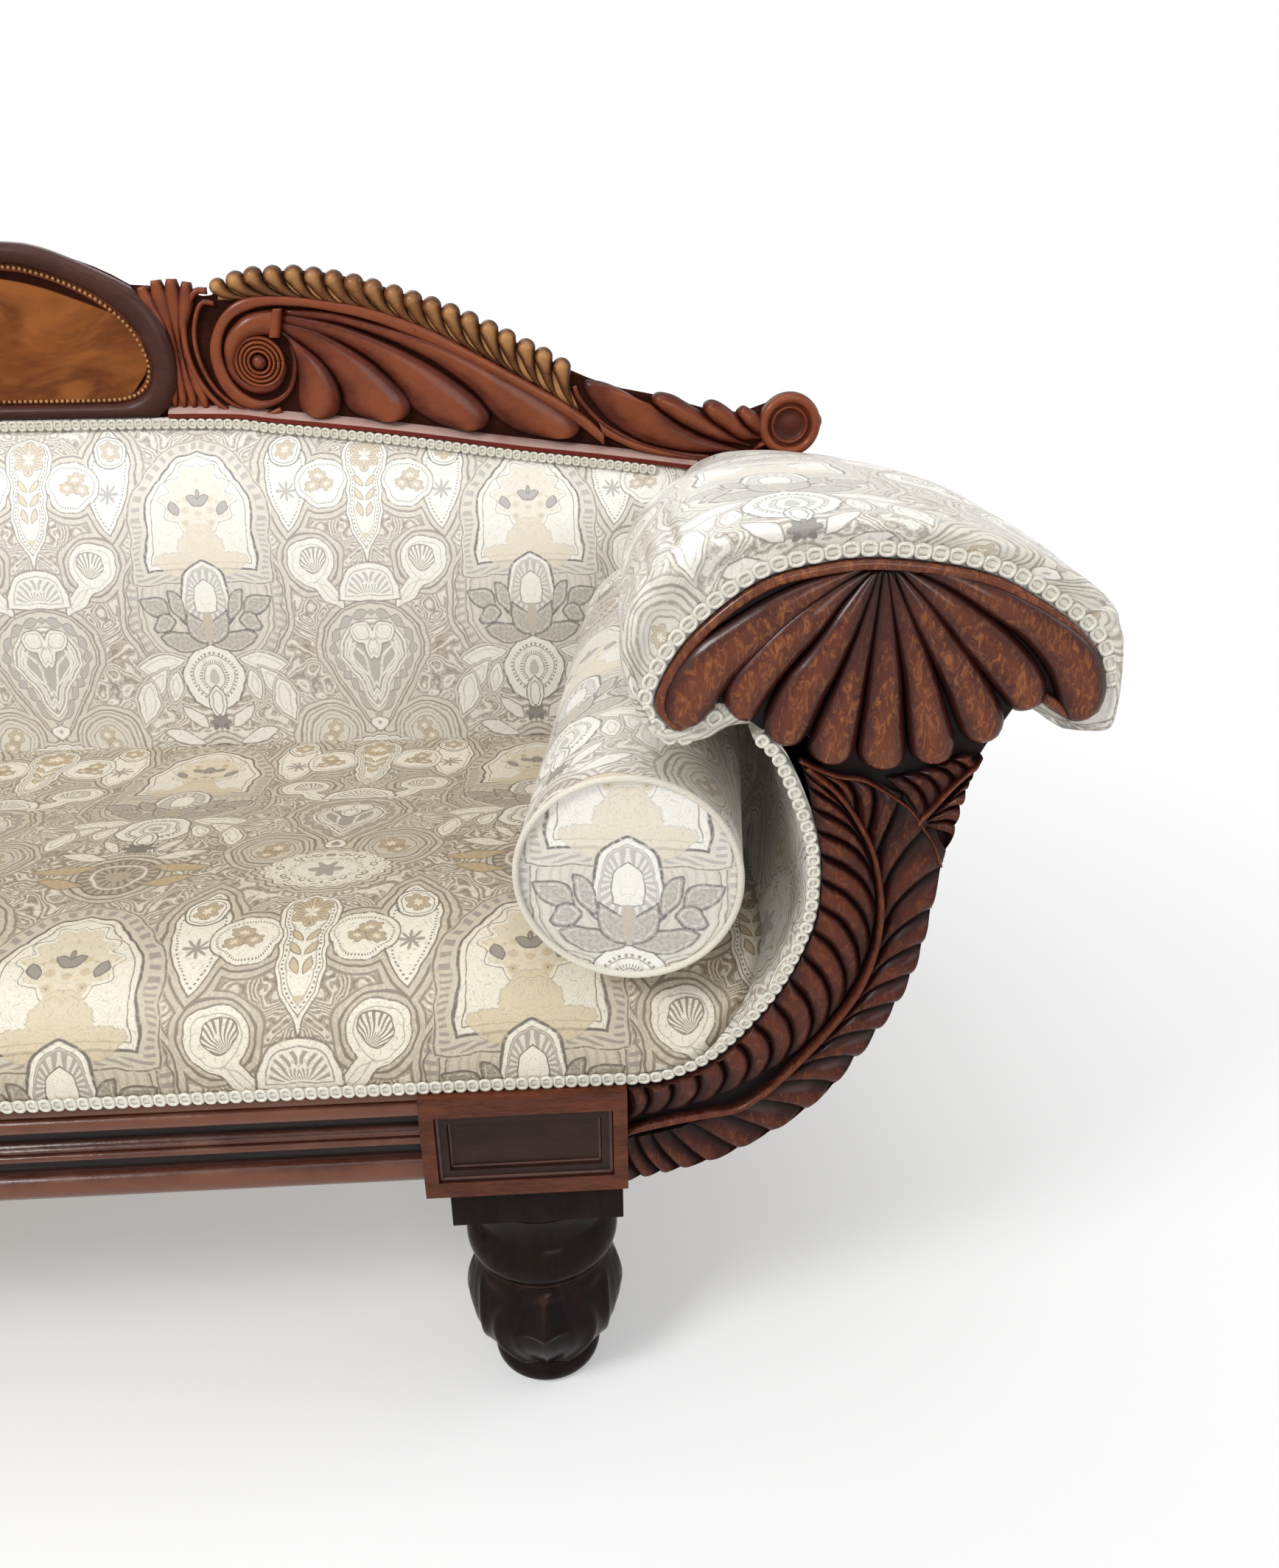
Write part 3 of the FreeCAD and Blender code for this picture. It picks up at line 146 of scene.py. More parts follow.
def grid(name, rings, caps=True, uv=None, wear_and_light=None):
    """Skin a stack of closed rings of points; uv has one column more than a ring."""
    rings = np.asarray(rings, float)
    count, around = rings.shape[:2]
    faces, loops = [], []
    for i in range(count - 1):
        for j in range(around):
            k = (j + 1) % around
            faces.append((i * around + j, i * around + k, (i + 1) * around + k,
                          (i + 1) * around + j))
            if uv is not None:
                loops += [uv[i][j], uv[i][j + 1], uv[i + 1][j + 1], uv[i + 1][j]]
    if caps:
        for i in (0, count - 1):
            faces.append(tuple(i * around + j for j in range(around)))
            if uv is not None:
                loops += [uv[i][j] for j in range(around)]
    return mesh_object(name, rings.reshape(-1, 3), faces, loops if uv is not None else None, wear_and_light)


def joined(name, parts):
    """Several meshes as one object."""
    work = bmesh.new()
    for part in parts:
        work.from_mesh(part.data)
        bpy.data.objects.remove(part)
    mesh = bpy.data.meshes.new(name)
    work.to_mesh(mesh)
    work.free()
    return placed(name, mesh)


def sharpen(obj, angle=40):
    """Hard edges stay crisp where faces meet at more than the angle."""
    work = bmesh.new()
    work.from_mesh(obj.data)
    for edge in work.edges:
        if len(edge.link_faces) == 2 and edge.calc_face_angle(0) > math.radians(angle):
            edge.smooth = False
    work.to_mesh(obj.data)
    work.free()
    return obj


def finish(obj, material, body, replaced=()):
    obj.data.materials.clear()
    obj.data.materials.append(material)
    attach(obj, body)
    if replaced:
        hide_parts(*replaced)
    return obj


def pair(obj, material, body="sofa", replaced=()):
    """Finish a right-hand piece and its mirror image."""
    other = obj.copy()
    other.data = obj.data.copy()
    other.name = obj.name.replace("_right", "_left")
    bpy.context.scene.collection.objects.link(other)
    other.data.transform(Matrix.Scale(-1, 4, (1, 0, 0)))
    other.data.flip_normals()
    finish(obj, material, body, replaced)
    finish(other, material, body.replace("_right", "_left"),
           [name.replace("_right", "_left") for name in replaced])
    return obj, other


# Material formulas: numbers that build their own math nodes
class Value:
    def __init__(self, tree, socket):
        self.tree, self.socket = tree, socket

    def op(self, kind, other=None, third=None, swap=False):
        node = self.tree.nodes.new("ShaderNodeMath")
        node.operation = kind
        terms = [self, other] if not swap else [other, self]
        for index, term in enumerate(terms + [third]):
            if isinstance(term, Value):
                self.tree.links.new(term.socket, node.inputs[index])
            elif term is not None:
                node.inputs[index].default_value = term
        return Value(self.tree, node.outputs[0])

    def __add__(self, other): return self.op("ADD", other)
    def __radd__(self, other): return self.op("ADD", other)
    def __sub__(self, other): return self.op("SUBTRACT", other)
    def __rsub__(self, other): return self.op("SUBTRACT", other, swap=True)
    def __mul__(self, other): return self.op("MULTIPLY", other)
    def __rmul__(self, other): return self.op("MULTIPLY", other)
    def __neg__(self): return self.op("MULTIPLY", -1.0)
    def abs(self): return self.op("ABSOLUTE")
    def sin(self): return self.op("SINE")
    def cos(self): return self.op("COSINE")
    def sqrt(self): return self.op("SQRT")
    def fract(self): return self.op("FRACT")
    def min(self, other): return self.op("MINIMUM", other)
    def max(self, other): return self.op("MAXIMUM", other)
    def atan2(self, other): return self.op("ARCTAN2", other)
    def smin(self, other, soft): return self.op("SMOOTH_MIN", other, soft)

    def fold(self, size):
        """Back and forth between 0 and size."""
        return self.op("PINGPONG", size)

    def ramp(self, low, high):
        """0 at or below low, 1 at or above high, smooth between."""
        node = self.tree.nodes.new("ShaderNodeMapRange")
        node.interpolation_type = "SMOOTHSTEP"
        node.inputs["From Min"].default_value = low
        node.inputs["From Max"].default_value = high
        self.tree.links.new(self.socket, node.inputs["Value"])
        return Value(self.tree, node.outputs["Result"])


def hypot(a, b):
    return (a * a + b * b).sqrt()


class Paint:
    """A node material, or the world's nodes, under construction."""

    def __init__(self, name, world=None):
        self.material = world or bpy.data.materials.new(name)
        self.material.use_nodes = True
        self.tree = self.material.node_tree
        self.shader = self.tree.nodes["Background" if world else "Principled BSDF"]

    def node(self, kind, **inputs):
        node = self.tree.nodes.new(kind)
        for key, value in inputs.items():
            self.put(node.inputs[key.replace("_", " ")], value)
        return node

    def put(self, socket, value):
        if isinstance(value, Value):
            value = value.socket
        if isinstance(value, bpy.types.NodeSocket):
            self.tree.links.new(value, socket)
        else:
            socket.default_value = value

    def value(self, socket):
        return Value(self.tree, socket)

    def uv(self):
        """The cloth's own coordinates, in metres."""
        node = self.tree.nodes.new("ShaderNodeUVMap")
        node.uv_map = "UVMap"
        split = self.node("ShaderNodeSeparateXYZ", Vector=node.outputs[0])
        return node.outputs[0], self.value(split.outputs[0]), self.value(split.outputs[1])

    def place(self, scale=(1, 1, 1)):
        """The piece's own coordinates, in metres, stretched."""
        node = self.tree.nodes.new("ShaderNodeTexCoord")
        mapped = self.node("ShaderNodeMapping", Vector=node.outputs["Object"])
        mapped.inputs["Scale"].default_value = scale
        return mapped.outputs[0]

    def noise(self, vector, scale, detail=3.0, rough=0.5, distortion=0.0):
        node = self.node("ShaderNodeTexNoise", Vector=vector, Scale=scale, Detail=detail,
                         Roughness=rough, Distortion=distortion)
        return self.value(node.outputs[0])

    def mix(self, amount, first, second, kind="MIX"):
        node = self.tree.nodes.new("ShaderNodeMix")
        node.data_type = "RGBA"
        node.blend_type = kind
        self.put(node.inputs[0], amount)
        for index, colour in ((6, first), (7, second)):
            if isinstance(colour, tuple) and len(colour) == 3:
                colour = colour + (1.0,)
            self.put(node.inputs[index], colour)
        return node.outputs[2]

    def attribute(self, name):
        node = self.tree.nodes.new("ShaderNodeAttribute")
        node.attribute_name = name
        return self.value(node.outputs["Fac"])

    def bump(self, height, distance, strength=1.0):
        node = self.node("ShaderNodeBump", Height=height, Distance=distance, Strength=strength)
        self.put(self.shader.inputs["Normal"], node.outputs[0])

    def set(self, **inputs):
        for key, value in inputs.items():
            self.put(self.shader.inputs[key.replace("_", " ")], value)

    def seen(self):
        """1 for what the camera sees, also in a mirror or through glass, else 0."""
        path = self.node("ShaderNodeLightPath").outputs
        seen = self.value(path["Is Camera Ray"])
        for kind in ("Is Glossy Ray", "Is Transmission Ray"):
            seen = seen.max(self.value(path[kind]))
        return seen

    def glow(self, amount, light, output):
        """White light in place of the shader, by the amount."""
        white = self.node(light, Color=(1, 1, 1, 1))
        mix = self.node("ShaderNodeMixShader")
        terms = (amount, self.shader.outputs[0], white.outputs[0])
        for socket, term in zip(mix.inputs, terms):
            self.put(socket, term)
        self.put(self.tree.nodes[output].inputs[0], mix.outputs[0])


def wood(name, dark, body, bright, grain=(1, 6, 6), carved=False, gloss=0.26, coat=0.05,
         streak=26.0, figure=0.0, flecks=0.0, deep=0.42, shine=0.14, lit_faces=None):
    """Polished wood: streaked grain, fine pores, dirt and painted shade in the hollows, wear and
    painted highlights on the tops.
    """
    paint = Paint(name)
    where = paint.place(grain)
    broad = paint.noise(where, streak * 0.35, 4.0, 0.6, 0.6)
    fine = paint.noise(where, streak * 4.0, 3.0, 0.6)
    tone = (broad * 0.7 + fine * 0.45).ramp(0.36, 0.8)
    colour = paint.mix(tone, dark, body)
    if figure:
        flame = paint.noise(paint.place((1.3, 1.0, 2.6)), 6.0, 3.0, 0.55, 1.6)
        colour = paint.mix(flame.ramp(0.42, 0.7) * figure, colour, bright)
    blotch = paint.noise(paint.place(), 17.0, 4.0, 0.65)
    rough = gloss + blotch.ramp(0.4, 0.8) * 0.18
    if carved:
        wear_and_light = paint.attribute("wear_and_light")
        # Tops painted lighter: rubbed wear and a painted highlight on the ridges.
        rubbed_and_lit = (wear_and_light * 0.9 + blotch * 0.75 - 0.35).ramp(0.5, 1.0)
        colour = paint.mix(rubbed_and_lit * 0.8, colour, bright)
        if flecks:
            chips = paint.noise(paint.place((1.0, 1.0, 0.45)), 190.0, 5.0, 0.72, 1.2)
            chips = chips.ramp(0.47, 0.66) * wear_and_light.ramp(0.3, 0.9) * flecks
            colour = paint.mix(chips, colour, (0.3, 0.1, 0.03))
        # Hollows painted near black: dirt and painted shade; deep sets how far up the sides it
        # reaches.
        hollow = 1.0 - wear_and_light.ramp(0.0, deep)
        colour = paint.mix(hollow * 0.93, colour, (0.004, 0.002, 0.002))
        rough = rough + hollow * 0.3
    else:
        colour = paint.mix(blotch.ramp(0.5, 0.9) * 0.35, colour, bright)
    # Painted light: the front-most face and the top take a lighter colour; recessed and side faces
    # keep the dark one as painted shade.
    if lit_faces:
        split = paint.node("ShaderNodeSeparateXYZ", Vector=paint.place())
        front = 1.0 - paint.value(split.outputs[1]).ramp(FRONT * MM + 0.0003, FRONT * MM + 0.0012)
        top = RAIL_TOP * MM
        front = front.max(paint.value(split.outputs[2]).ramp(top + 0.0005, top + 0.0015))
        colour = paint.mix(front, colour, paint.mix(tone, *lit_faces))
    scuff = paint.noise(paint.place(), 120.0, 2.0, 0.7)
    colour = paint.mix(scuff.ramp(0.62, 0.78) * 0.3, colour, dark)
    paint.set(Base_Color=colour, Roughness=rough, Coat_Weight=coat, Coat_Roughness=0.15,
              IOR=1.5, Specular_IOR_Level=shine)
    paint.bump(fine * 0.5 + scuff, 0.0005, 0.4)
    return paint.material


bead_wood = wood("bead_mahogany", (0.03, 0.011, 0.008), (0.075, 0.027, 0.018),
                 (0.15, 0.062, 0.04), grain=(1, 3, 3), coat=0.15, shine=0.3)
# Painted shade: the crest rail, the ground behind the carving, is dark and matte as if in shade.
crest_back_painted_shade = wood("crest_back_painted_shade", (0.02, 0.007, 0.005), (0.042, 0.012, 0.008),
                  (0.07, 0.022, 0.014), gloss=0.7, coat=0.0, shine=0.0)
mahogany = wood("mahogany", (0.04, 0.009, 0.006), (0.085, 0.021, 0.012), (0.14, 0.042, 0.02))
# The block's front and top faces are painted lighter as lit faces, its recess and sides dark as
# painted shade.
block_wood = wood("block_mahogany", (0.018, 0.008, 0.006), (0.034, 0.014, 0.01),
                  (0.06, 0.024, 0.017), lit_faces=((0.05, 0.013, 0.007), (0.15, 0.042, 0.017)))
rail_wood = wood("rail_mahogany", (0.045, 0.013, 0.008), (0.1, 0.033, 0.019),
                 (0.17, 0.062, 0.032), carved=True, coat=0.16, gloss=0.2, shine=0.26)
# Pale colour for the ledge's lit top: a painted highlight.
ledge_wood_lit_top = wood("ledge_mahogany_lit_top", (0.1, 0.012, 0.007), (0.17, 0.02, 0.01),
                  (0.52, 0.37, 0.32), carved=True, deep=0.1)
carving = wood("carved_mahogany", (0.06, 0.011, 0.006), (0.14, 0.026, 0.0115),
               (0.26, 0.068, 0.024), grain=(1, 3, 5), carved=True, coat=0.1, gloss=0.22,
               deep=0.6)
gilt_wear_and_light = wood("worn_gadroons", (0.07, 0.022, 0.01), (0.19, 0.074, 0.025),
                 (0.52, 0.26, 0.1), grain=(1, 3, 3), carved=True, deep=0.6)
fan_wood = wood("fan_mahogany", (0.03, 0.006, 0.0045), (0.082, 0.0175, 0.01),
                (0.15, 0.038, 0.016), grain=(2, 3, 2), carved=True, gloss=0.2, coat=0.25,
                flecks=0.85, deep=0.6)
leaf_wood = wood("leaf_mahogany", (0.016, 0.004, 0.0035), (0.046, 0.0098, 0.007),
                 (0.12, 0.028, 0.012), grain=(2, 3, 2), carved=True, gloss=0.26, flecks=0.3,
                 deep=0.7)
leg_wood = wood("dark_mahogany", (0.006, 0.0035, 0.003), (0.015, 0.0075, 0.006),
                (0.05, 0.02, 0.012), grain=(5, 5, 1), carved=True, gloss=0.16, coat=0.12,
                shine=0.02)
panel_wood = wood("figured_panel", (0.1, 0.026, 0.005), (0.19, 0.05, 0.009),
                  (0.3, 0.1, 0.021), grain=(0.8, 4, 3), figure=0.8, gloss=0.3)
frame_wood = wood("crossbanded_frame", (0.038, 0.013, 0.01), (0.067, 0.023, 0.017),
                  (0.11, 0.045, 0.032), grain=(4, 4, 4), gloss=0.36)
plain_wood = wood("beech", (0.3, 0.19, 0.1), (0.45, 0.3, 0.17), (0.55, 0.4, 0.24),
                  gloss=0.6, coat=0.0)


# The cloth's repeat: mirrored every half width, drawn with distances to its motifs
REPEAT_U, REPEAT_V, DRAWN = 0.348, 0.42, 0.02
IVORY, CREAM = (0.70, 0.66, 0.575), (0.86, 0.835, 0.765)
TAUPE, DUSK = (0.24, 0.197, 0.165), (0.085, 0.075, 0.075)
GREY, STRAW, SAND = (0.43, 0.40, 0.375), (0.61, 0.50, 0.325), (0.55, 0.485, 0.395)


class Cloth(Paint):
    """A cloth drawn layer by layer with fills, lines, hatching and dots."""

    def __init__(self, name):
        super().__init__(name)
        self.vector, self.u, self.v = self.uv()
        folded = self.node("ShaderNodeCombineXYZ", X=self.u.fold(REPEAT_U / 2), Y=self.v)
        sway = self.node("ShaderNodeTexNoise", Vector=folded.outputs[0], Scale=21.0, Detail=2.5,
                         Roughness=0.55)
        drawn = self.vec("MULTIPLY_ADD", sway.outputs["Color"], (DRAWN, DRAWN, 0),
                         self.vec("SUBTRACT", folded.outputs[0], (DRAWN / 2, DRAWN / 2, 0)))
        self.ground = folded.outputs[0]
        split = self.node("ShaderNodeSeparateXYZ", Vector=drawn)
        a, level = self.value(split.outputs[0]), self.value(split.outputs[1])
        b = REPEAT_U / 2 - a
        low = level.op("WRAP", 0.0, -REPEAT_V)
        high = level.op("WRAP", REPEAT_V / 2, -REPEAT_V / 2)
        self.ink = self.noise(self.vector, 230.0, 2.0, 0.6).ramp(0.3, 0.52) * 0.6 + 0.4
        self.a, self.a_high, self.b, self.b_high = (
            self.node("ShaderNodeCombineXYZ", X=x, Y=y).outputs[0]
            for x, y in ((a, low), (a, high), (b, low), (b, high)))

    def vec(self, kind, *terms):
        node = self.tree.nodes.new("ShaderNodeVectorMath")
        node.operation = kind
        for index, term in enumerate(terms):
            self.put(node.inputs[index], term)
        return node.outputs[0] if kind != "LENGTH" else self.value(node.outputs["Value"])

    def lay(self, amount, colour):
        self.colour = self.mix(amount, self.colour, colour)

    def step(self, d, low, high, amount):
        """The amount below low, nothing above high."""
        node = self.node("ShaderNodeMapRange", Value=d, From_Min=low, From_Max=high,
                         To_Min=amount, To_Max=0.0)
        return self.value(node.outputs[0])

    def fill(self, d, colour, amount=1.0, at=0.0):
        self.lay(self.step(d, at - 0.0006, at + 0.0006, amount), colour)

    def edge(self, d, colour=TAUPE, width=0.0013, amount=0.85, at=0.0):
        near = (d - at if at else d).abs()
        self.lay(self.step(near, width * 0.3, width * 0.72, amount) * self.ink, colour)

    def band(self, d, low, high, colour, turn, count, amount=0.8):
        """Hatching between two offsets from a shape, cut up by turn * count."""
        half = (high - low) / 2
        inside = self.step((d - (low + high) / 2).abs(), half - 0.0005, half + 0.0005, amount)
        self.lay(inside * (turn * count).sin().ramp(-0.15, 0.45), colour)

    def away(self, p, cx, cy):
        node = self.tree.nodes.new("ShaderNodeVectorMath")
        node.operation = "DISTANCE"
        self.put(node.inputs[0], p)
        node.inputs[1].default_value = (cx, cy, 0)
        return self.value(node.outputs["Value"])

    def round(self, p, cx, cy, r, squash=1.0):
        if squash == 1.0:
            return self.away(p, cx, cy) - r
        return self.vec("LENGTH", self.vec("MULTIPLY_ADD", p, (1, squash, 0),
                                           (-cx, -cy * squash, 0))) - r

    def turn(self, p, cx, cy, squash=1.0):
        moved = self.vec("MULTIPLY_ADD", p, (1, squash, 0), (0.0001 - cx, -cy * squash, 0))
        split = self.node("ShaderNodeSeparateXYZ", Vector=moved)
        return self.value(split.outputs[1]).atan2(self.value(split.outputs[0]))

    def height(self, p, level):
        split = self.node("ShaderNodeSeparateXYZ", Vector=p)
        return self.value(split.outputs[1]) - level

    def arch(self, p, level, half, high):
        """A pointed arch on upright sides that begin below the level."""
        k = (high * high - half * half) / (2 * half)
        moved = self.vec("MAXIMUM", self.vec("ADD", p, (k, -level, 0)), (0, 0, 0))
        return self.vec("LENGTH", moved) - (half + k)

    def leaf(self, p, cx, cy, angle, length, width):
        """A pointed leaf that leaves (cx, cy) at an angle."""
        bend = (length * length / 4 + width * width / 4) / width
        off, along, side = bend - width / 2, math.cos(angle), math.sin(angle)
        mx, my = cx + along * length / 2, cy + side * length / 2
        return self.away(p, mx - side * off, my + along * off).max(
            self.away(p, mx + side * off, my - along * off)) - bend

    def posy(self, p, cx, cy, r):
        """A round head of six curled petals, hatched from its heart."""
        turn = self.turn(p, cx, cy)
        shape = self.round(p, cx, cy, r * 0.8) - (turn * 3.0).sin().abs() * (r * 0.32)
        self.fill(shape, STRAW, 0.7)
        self.edge(shape, TAUPE, 0.0009, 0.75)
        self.band(shape, -r * 0.6, -r * 0.12, TAUPE, turn, 24.0, 0.5)
        self.fill(shape, CREAM, 0.8, at=-r * 0.66)

    def flower(self, p, cx, cy, r, petals=5.0, depth=0.24):
        return self.round(p, cx, cy, r) - (self.turn(p, cx, cy) * petals).cos() * (r * depth)


def damask(name):
    c = Cloth(name)
    a, b = c.a, c.b
    wide = c.noise(c.ground, 11.0, 2.0)

    # Outlines of the main motifs
    arch_y = c.height(c.a_high, -0.075)
    arch = c.arch(c.a_high, -0.075, 0.054, 0.076).max(-(arch_y + 0.05))
    hood = c.round(a, 0.0, -0.165, 0.079)
    hood_turn = c.turn(a, 0.0, -0.165)
    hood_edge = hood - (hood_turn * 9.0).sin().abs() * 0.004
    drop_y = c.height(b, -0.222)
    drop = c.vec("LENGTH", c.vec("MAXIMUM", c.vec("MULTIPLY_ADD", b, (1, 0.9, 0),
                                                  (0, 0.222 * 0.9, 0)), (-1, 0, 0)))
    drop = drop - (drop_y.min(0.0) * (0.049 / 0.085) + 0.049)
    swirl = c.round(b, 0.052, -0.312, 0.03)
    pod = c.round(b, 0.044, -0.035, 0.026)
    slip = c.leaf(c.a_high, 0.092, 0.03, -math.pi / 2, 0.118, 0.046)
    cup = c.round(b, 0.06, -0.118, 0.023)
    rose = c.round(b, 0.0, -0.352, 0.05, 1.5)
    rose = rose - (c.turn(b, 0.0, -0.352, 1.5) * 11.0).sin().abs() * 0.004
    palm = c.round(a, 0.0, -0.352, 0.032)
    near = arch
    for shape in (hood, drop, swirl, pod, slip, cup, rose, palm):
        near = near.min(shape)

    # Ground: stippled taupe with scrolling lines and echoes of the motifs
    speck = c.noise(c.ground, 330.0, 2.0, 0.7)
    scroll = ((c.noise(c.ground, 24.0, 1.5, 0.5, 1.1) * 15.0).fract() - 0.5).abs()
    curls = ((c.noise(c.ground, 55.0, 1.0, 0.5, 1.5) * 9.0).fract() - 0.5).abs()
    c.colour = c.mix(wide.ramp(0.35, 0.65), IVORY, SAND)
    c.lay(speck.ramp(0.42, 0.62) * 0.55, TAUPE)
    c.lay(c.step(curls, 0.04, 0.12, 0.5), TAUPE)
    c.lay(scroll.ramp(0.30, 0.36) * 0.75, CREAM)
    c.lay(c.step(scroll, 0.05, 0.11, 0.65), TAUPE)
    echo = ((near * 150.0).fract() - 0.5).abs()
    close = c.step(near, 0.012, 0.017, 0.8)
    c.lay(close, IVORY)
    c.lay(echo.ramp(0.28, 0.38) * close, TAUPE)

    # Hood of hatched scallops round the leaf group
    c.fill(hood_edge, IVORY, 0.75)
    c.band(hood, -0.006, 0.0045, GREY, hood_turn, 58.0)
    c.edge(hood_edge, TAUPE, 0.0016)
    c.edge(hood, TAUPE, at=-0.008)
    c.edge(hood, TAUPE, 0.0009, at=-0.0125)

    # Feathered leaves below it
    for x, y, angle, length, width in (
            (0.028, -0.222, -0.12, 0.054, 0.023), (0.05, -0.232, -0.8, 0.046, 0.021),
            (0.07, -0.242, -1.35, 0.052, 0.02), (0.036, -0.236, -1.25, 0.034, 0.017)):
        one = c.leaf(a, x, y, angle, length, width)
        c.fill(one, IVORY, at=0.003)
        c.fill(one, CREAM)
        c.edge(one, TAUPE, 0.0012, 0.6, at=0.003)
        c.edge(one, TAUPE, 0.0012)
        c.edge(one, GREY, 0.0012, 0.6, at=-0.0045)

    # Arch with its cluster of flowers
    turn = c.turn(c.a_high, -0.022, -0.075) + arch_y.min(0.0) * 14.0
    c.fill(arch, IVORY, 0.9, at=0.018)
    c.band(arch, 0.006, 0.0135, GREY, turn, 46.0, 0.85)
    c.edge(arch, TAUPE, 0.0014, at=0.0165)
    c.fill(arch, CREAM, 0.85)
    c.edge(arch, DUSK, 0.0021, 0.9, at=0.001)
    c.edge(arch, TAUPE, 0.001, at=-0.005)
    bloom = c.flower(a, 0.0, -0.052, 0.033, 11.0, 0.09)
    c.fill(bloom, STRAW, 0.62)
    c.edge(bloom, TAUPE, 0.0009, 0.7, at=0.0035)
    petals = c.node("ShaderNodeTexVoronoi", Vector=c.ground, Scale=95.0)
    heads = c.value(petals.outputs["Distance"])
    on_bloom = c.step(bloom, -0.001, 0.0005, 1.0)
    c.lay(on_bloom * heads.ramp(0.32, 0.42) * 0.5, CREAM)
    c.lay(on_bloom * c.step(heads, 0.1, 0.16, 0.6), TAUPE)
    for x, y, angle in ((0.0, -0.058, 1.57), (0.0, -0.056, 0.5), (0.022, -0.07, 1.1)):
        sprig = c.leaf(a, x, y, angle, 0.018, 0.008)
        c.fill(sprig, GREY)
        c.edge(sprig, DUSK, 0.001, 0.7)

    # Plume and dome
    plume = c.arch(a, -0.112, 0.026, 0.034).max(-0.137 - c.height(a, 0.0))
    plume = plume.min(c.leaf(a, 0.01, -0.132, 0.5, 0.042, 0.024)) + (speck - 0.5) * 0.006
    c.fill(plume, (0.72, 0.645, 0.5), 0.75)
    c.edge(plume, GREY, 0.001, 0.5)
    dome_turn = c.turn(a, 0.0, -0.152)
    dome = c.arch(a, -0.152, 0.0265, 0.036)
    dome = dome.max(c.round(a, 0.0, -0.149, 0.0385, 1.0))
    c.fill(dome, CREAM)
    c.edge(dome, DUSK, 0.0024, 0.9)
    c.edge(dome, GREY, 0.0012, at=-0.0055)
    c.fill(dome, GREY, 0.75, at=-0.0065)
    c.band(dome, -0.0165, -0.008, CREAM, dome_turn, 22.0)
    c.fill(dome, CREAM, at=-0.017)
    c.edge(dome, TAUPE, 0.0012, at=-0.017)

    # Striped bulb, grapes and palmette
    bulb = c.round(a, 0.0, -0.243, 0.031, 0.86)
    bulb_turn = c.turn(a, 0.0, -0.243)
    c.fill(bulb, CREAM)
    c.edge(bulb, DUSK, 0.0015)
    for depth in (0.0075, 0.016):
        c.band(bulb, -depth - 0.0024, -depth, DUSK, bulb_turn, 34.0, 0.75)
        c.edge(bulb, TAUPE, 0.001, at=-depth - 0.0034)
    c.fill(bulb, GREY, 0.7, at=-0.0245)
    palm_turn = c.turn(a, 0.0, -0.352)
    c.fill(palm, SAND, 0.9)
    c.band(palm, -0.009, -0.001, TAUPE, palm_turn, 26.0)
    c.edge(palm, DUSK, 0.0016, 0.8)
    c.edge(palm, CREAM, 0.0022, at=-0.011)
    c.band(palm, -0.022, -0.014, DUSK, palm_turn, 14.0, 0.6)
    for x, y, angle, length, width, tint in (
            (0.018, -0.318, 0.35, 0.05, 0.016, CREAM), (0.02, -0.335, -0.15, 0.056, 0.017, STRAW),
            (0.022, -0.37, 0.25, 0.045, 0.015, STRAW), (0.014, -0.3, 0.9, 0.036, 0.012, CREAM)):
        one = c.leaf(a, x, y, angle, length, width)
        c.fill(one, tint, 0.85)
        c.edge(one, TAUPE, 0.0014)
    bud = c.leaf(a, 0.0, -0.288, math.pi / 2, 0.036, 0.02)
    c.fill(bud, CREAM)
    c.edge(bud, DUSK, 0.0014)
    c.edge(bud, TAUPE, 0.0014, at=-0.004)
    grape = c.flower(a, 0.0, -0.293, 0.011, 7.0, 0.2)
    c.fill(grape, (0.13, 0.12, 0.11), 0.8)

    # Dotted slip and pods between the axes
    c.fill(slip, CREAM)
    c.edge(slip, TAUPE, 0.001)
    c.band(slip, -0.0048, -0.0034, DUSK, arch_y, 1700.0)
    c.fill(c.flower(a, 0.092, -0.043, 0.0085, 8.0, 0.55), GREY, 0.9)
    bowl = c.round(c.a_high, 0.092, 0.002, 0.017)
    c.fill(bowl, CREAM)
    c.edge(bowl, DUSK, 0.0016, 0.8)
    c.edge(bowl, TAUPE, 0.0009, at=-0.0035)
    c.posy(c.a_high, 0.092, 0.003, 0.0095)
    pod_turn = c.turn(b, 0.044, -0.035)
    c.fill(pod - (pod_turn * 8.0).sin().abs() * 0.002, CREAM)
    c.edge(pod, TAUPE, at=0.0012)
    c.band(pod, -0.0045, -0.003, DUSK, pod_turn, 60.0)
    for x, y, size in ((0.05, -0.027, 0.0085), (0.041, -0.038, 0.0075), (0.055, -0.041, 0.0065)):
        c.posy(b, x, y, size)

    # Middle vase: a flower over a nested V
    vase_y = c.height(c.b_high, -0.118)
    side = c.node("ShaderNodeSeparateXYZ", Vector=c.b_high)
    x = c.value(side.outputs[0])
    vase = ((x * 2.3 - vase_y) * 0.4).max(x - 0.0155).max(vase_y - 0.1)
    vase = vase.smin(c.round(c.b_high, 0.0, -0.008, 0.024), 0.01)
    c.fill(vase, CREAM, at=0.002)
    c.edge(vase, TAUPE, 0.0013, at=0.002)
    c.edge(vase, TAUPE, 0.0009, at=-0.0015)
    c.band(vase, -0.0048, -0.0034, DUSK, vase_y, 1500.0)
    c.edge(vase, GREY, 0.001, at=-0.0068)
    c.fill(vase.max(vase_y - 0.034), STRAW, 0.7, at=-0.0072)
    for x, y, angle in ((0.0, -0.055, 0.9), (0.0, -0.04, 0.9), (0.0, -0.072, 1.25)):
        leaf = c.leaf(c.b_high, x, y, angle, 0.016, 0.0062)
        c.fill(leaf, STRAW, 0.7)
        c.edge(leaf, TAUPE, 0.0009)
    c.posy(c.b_high, 0.0, -0.004, 0.0165)

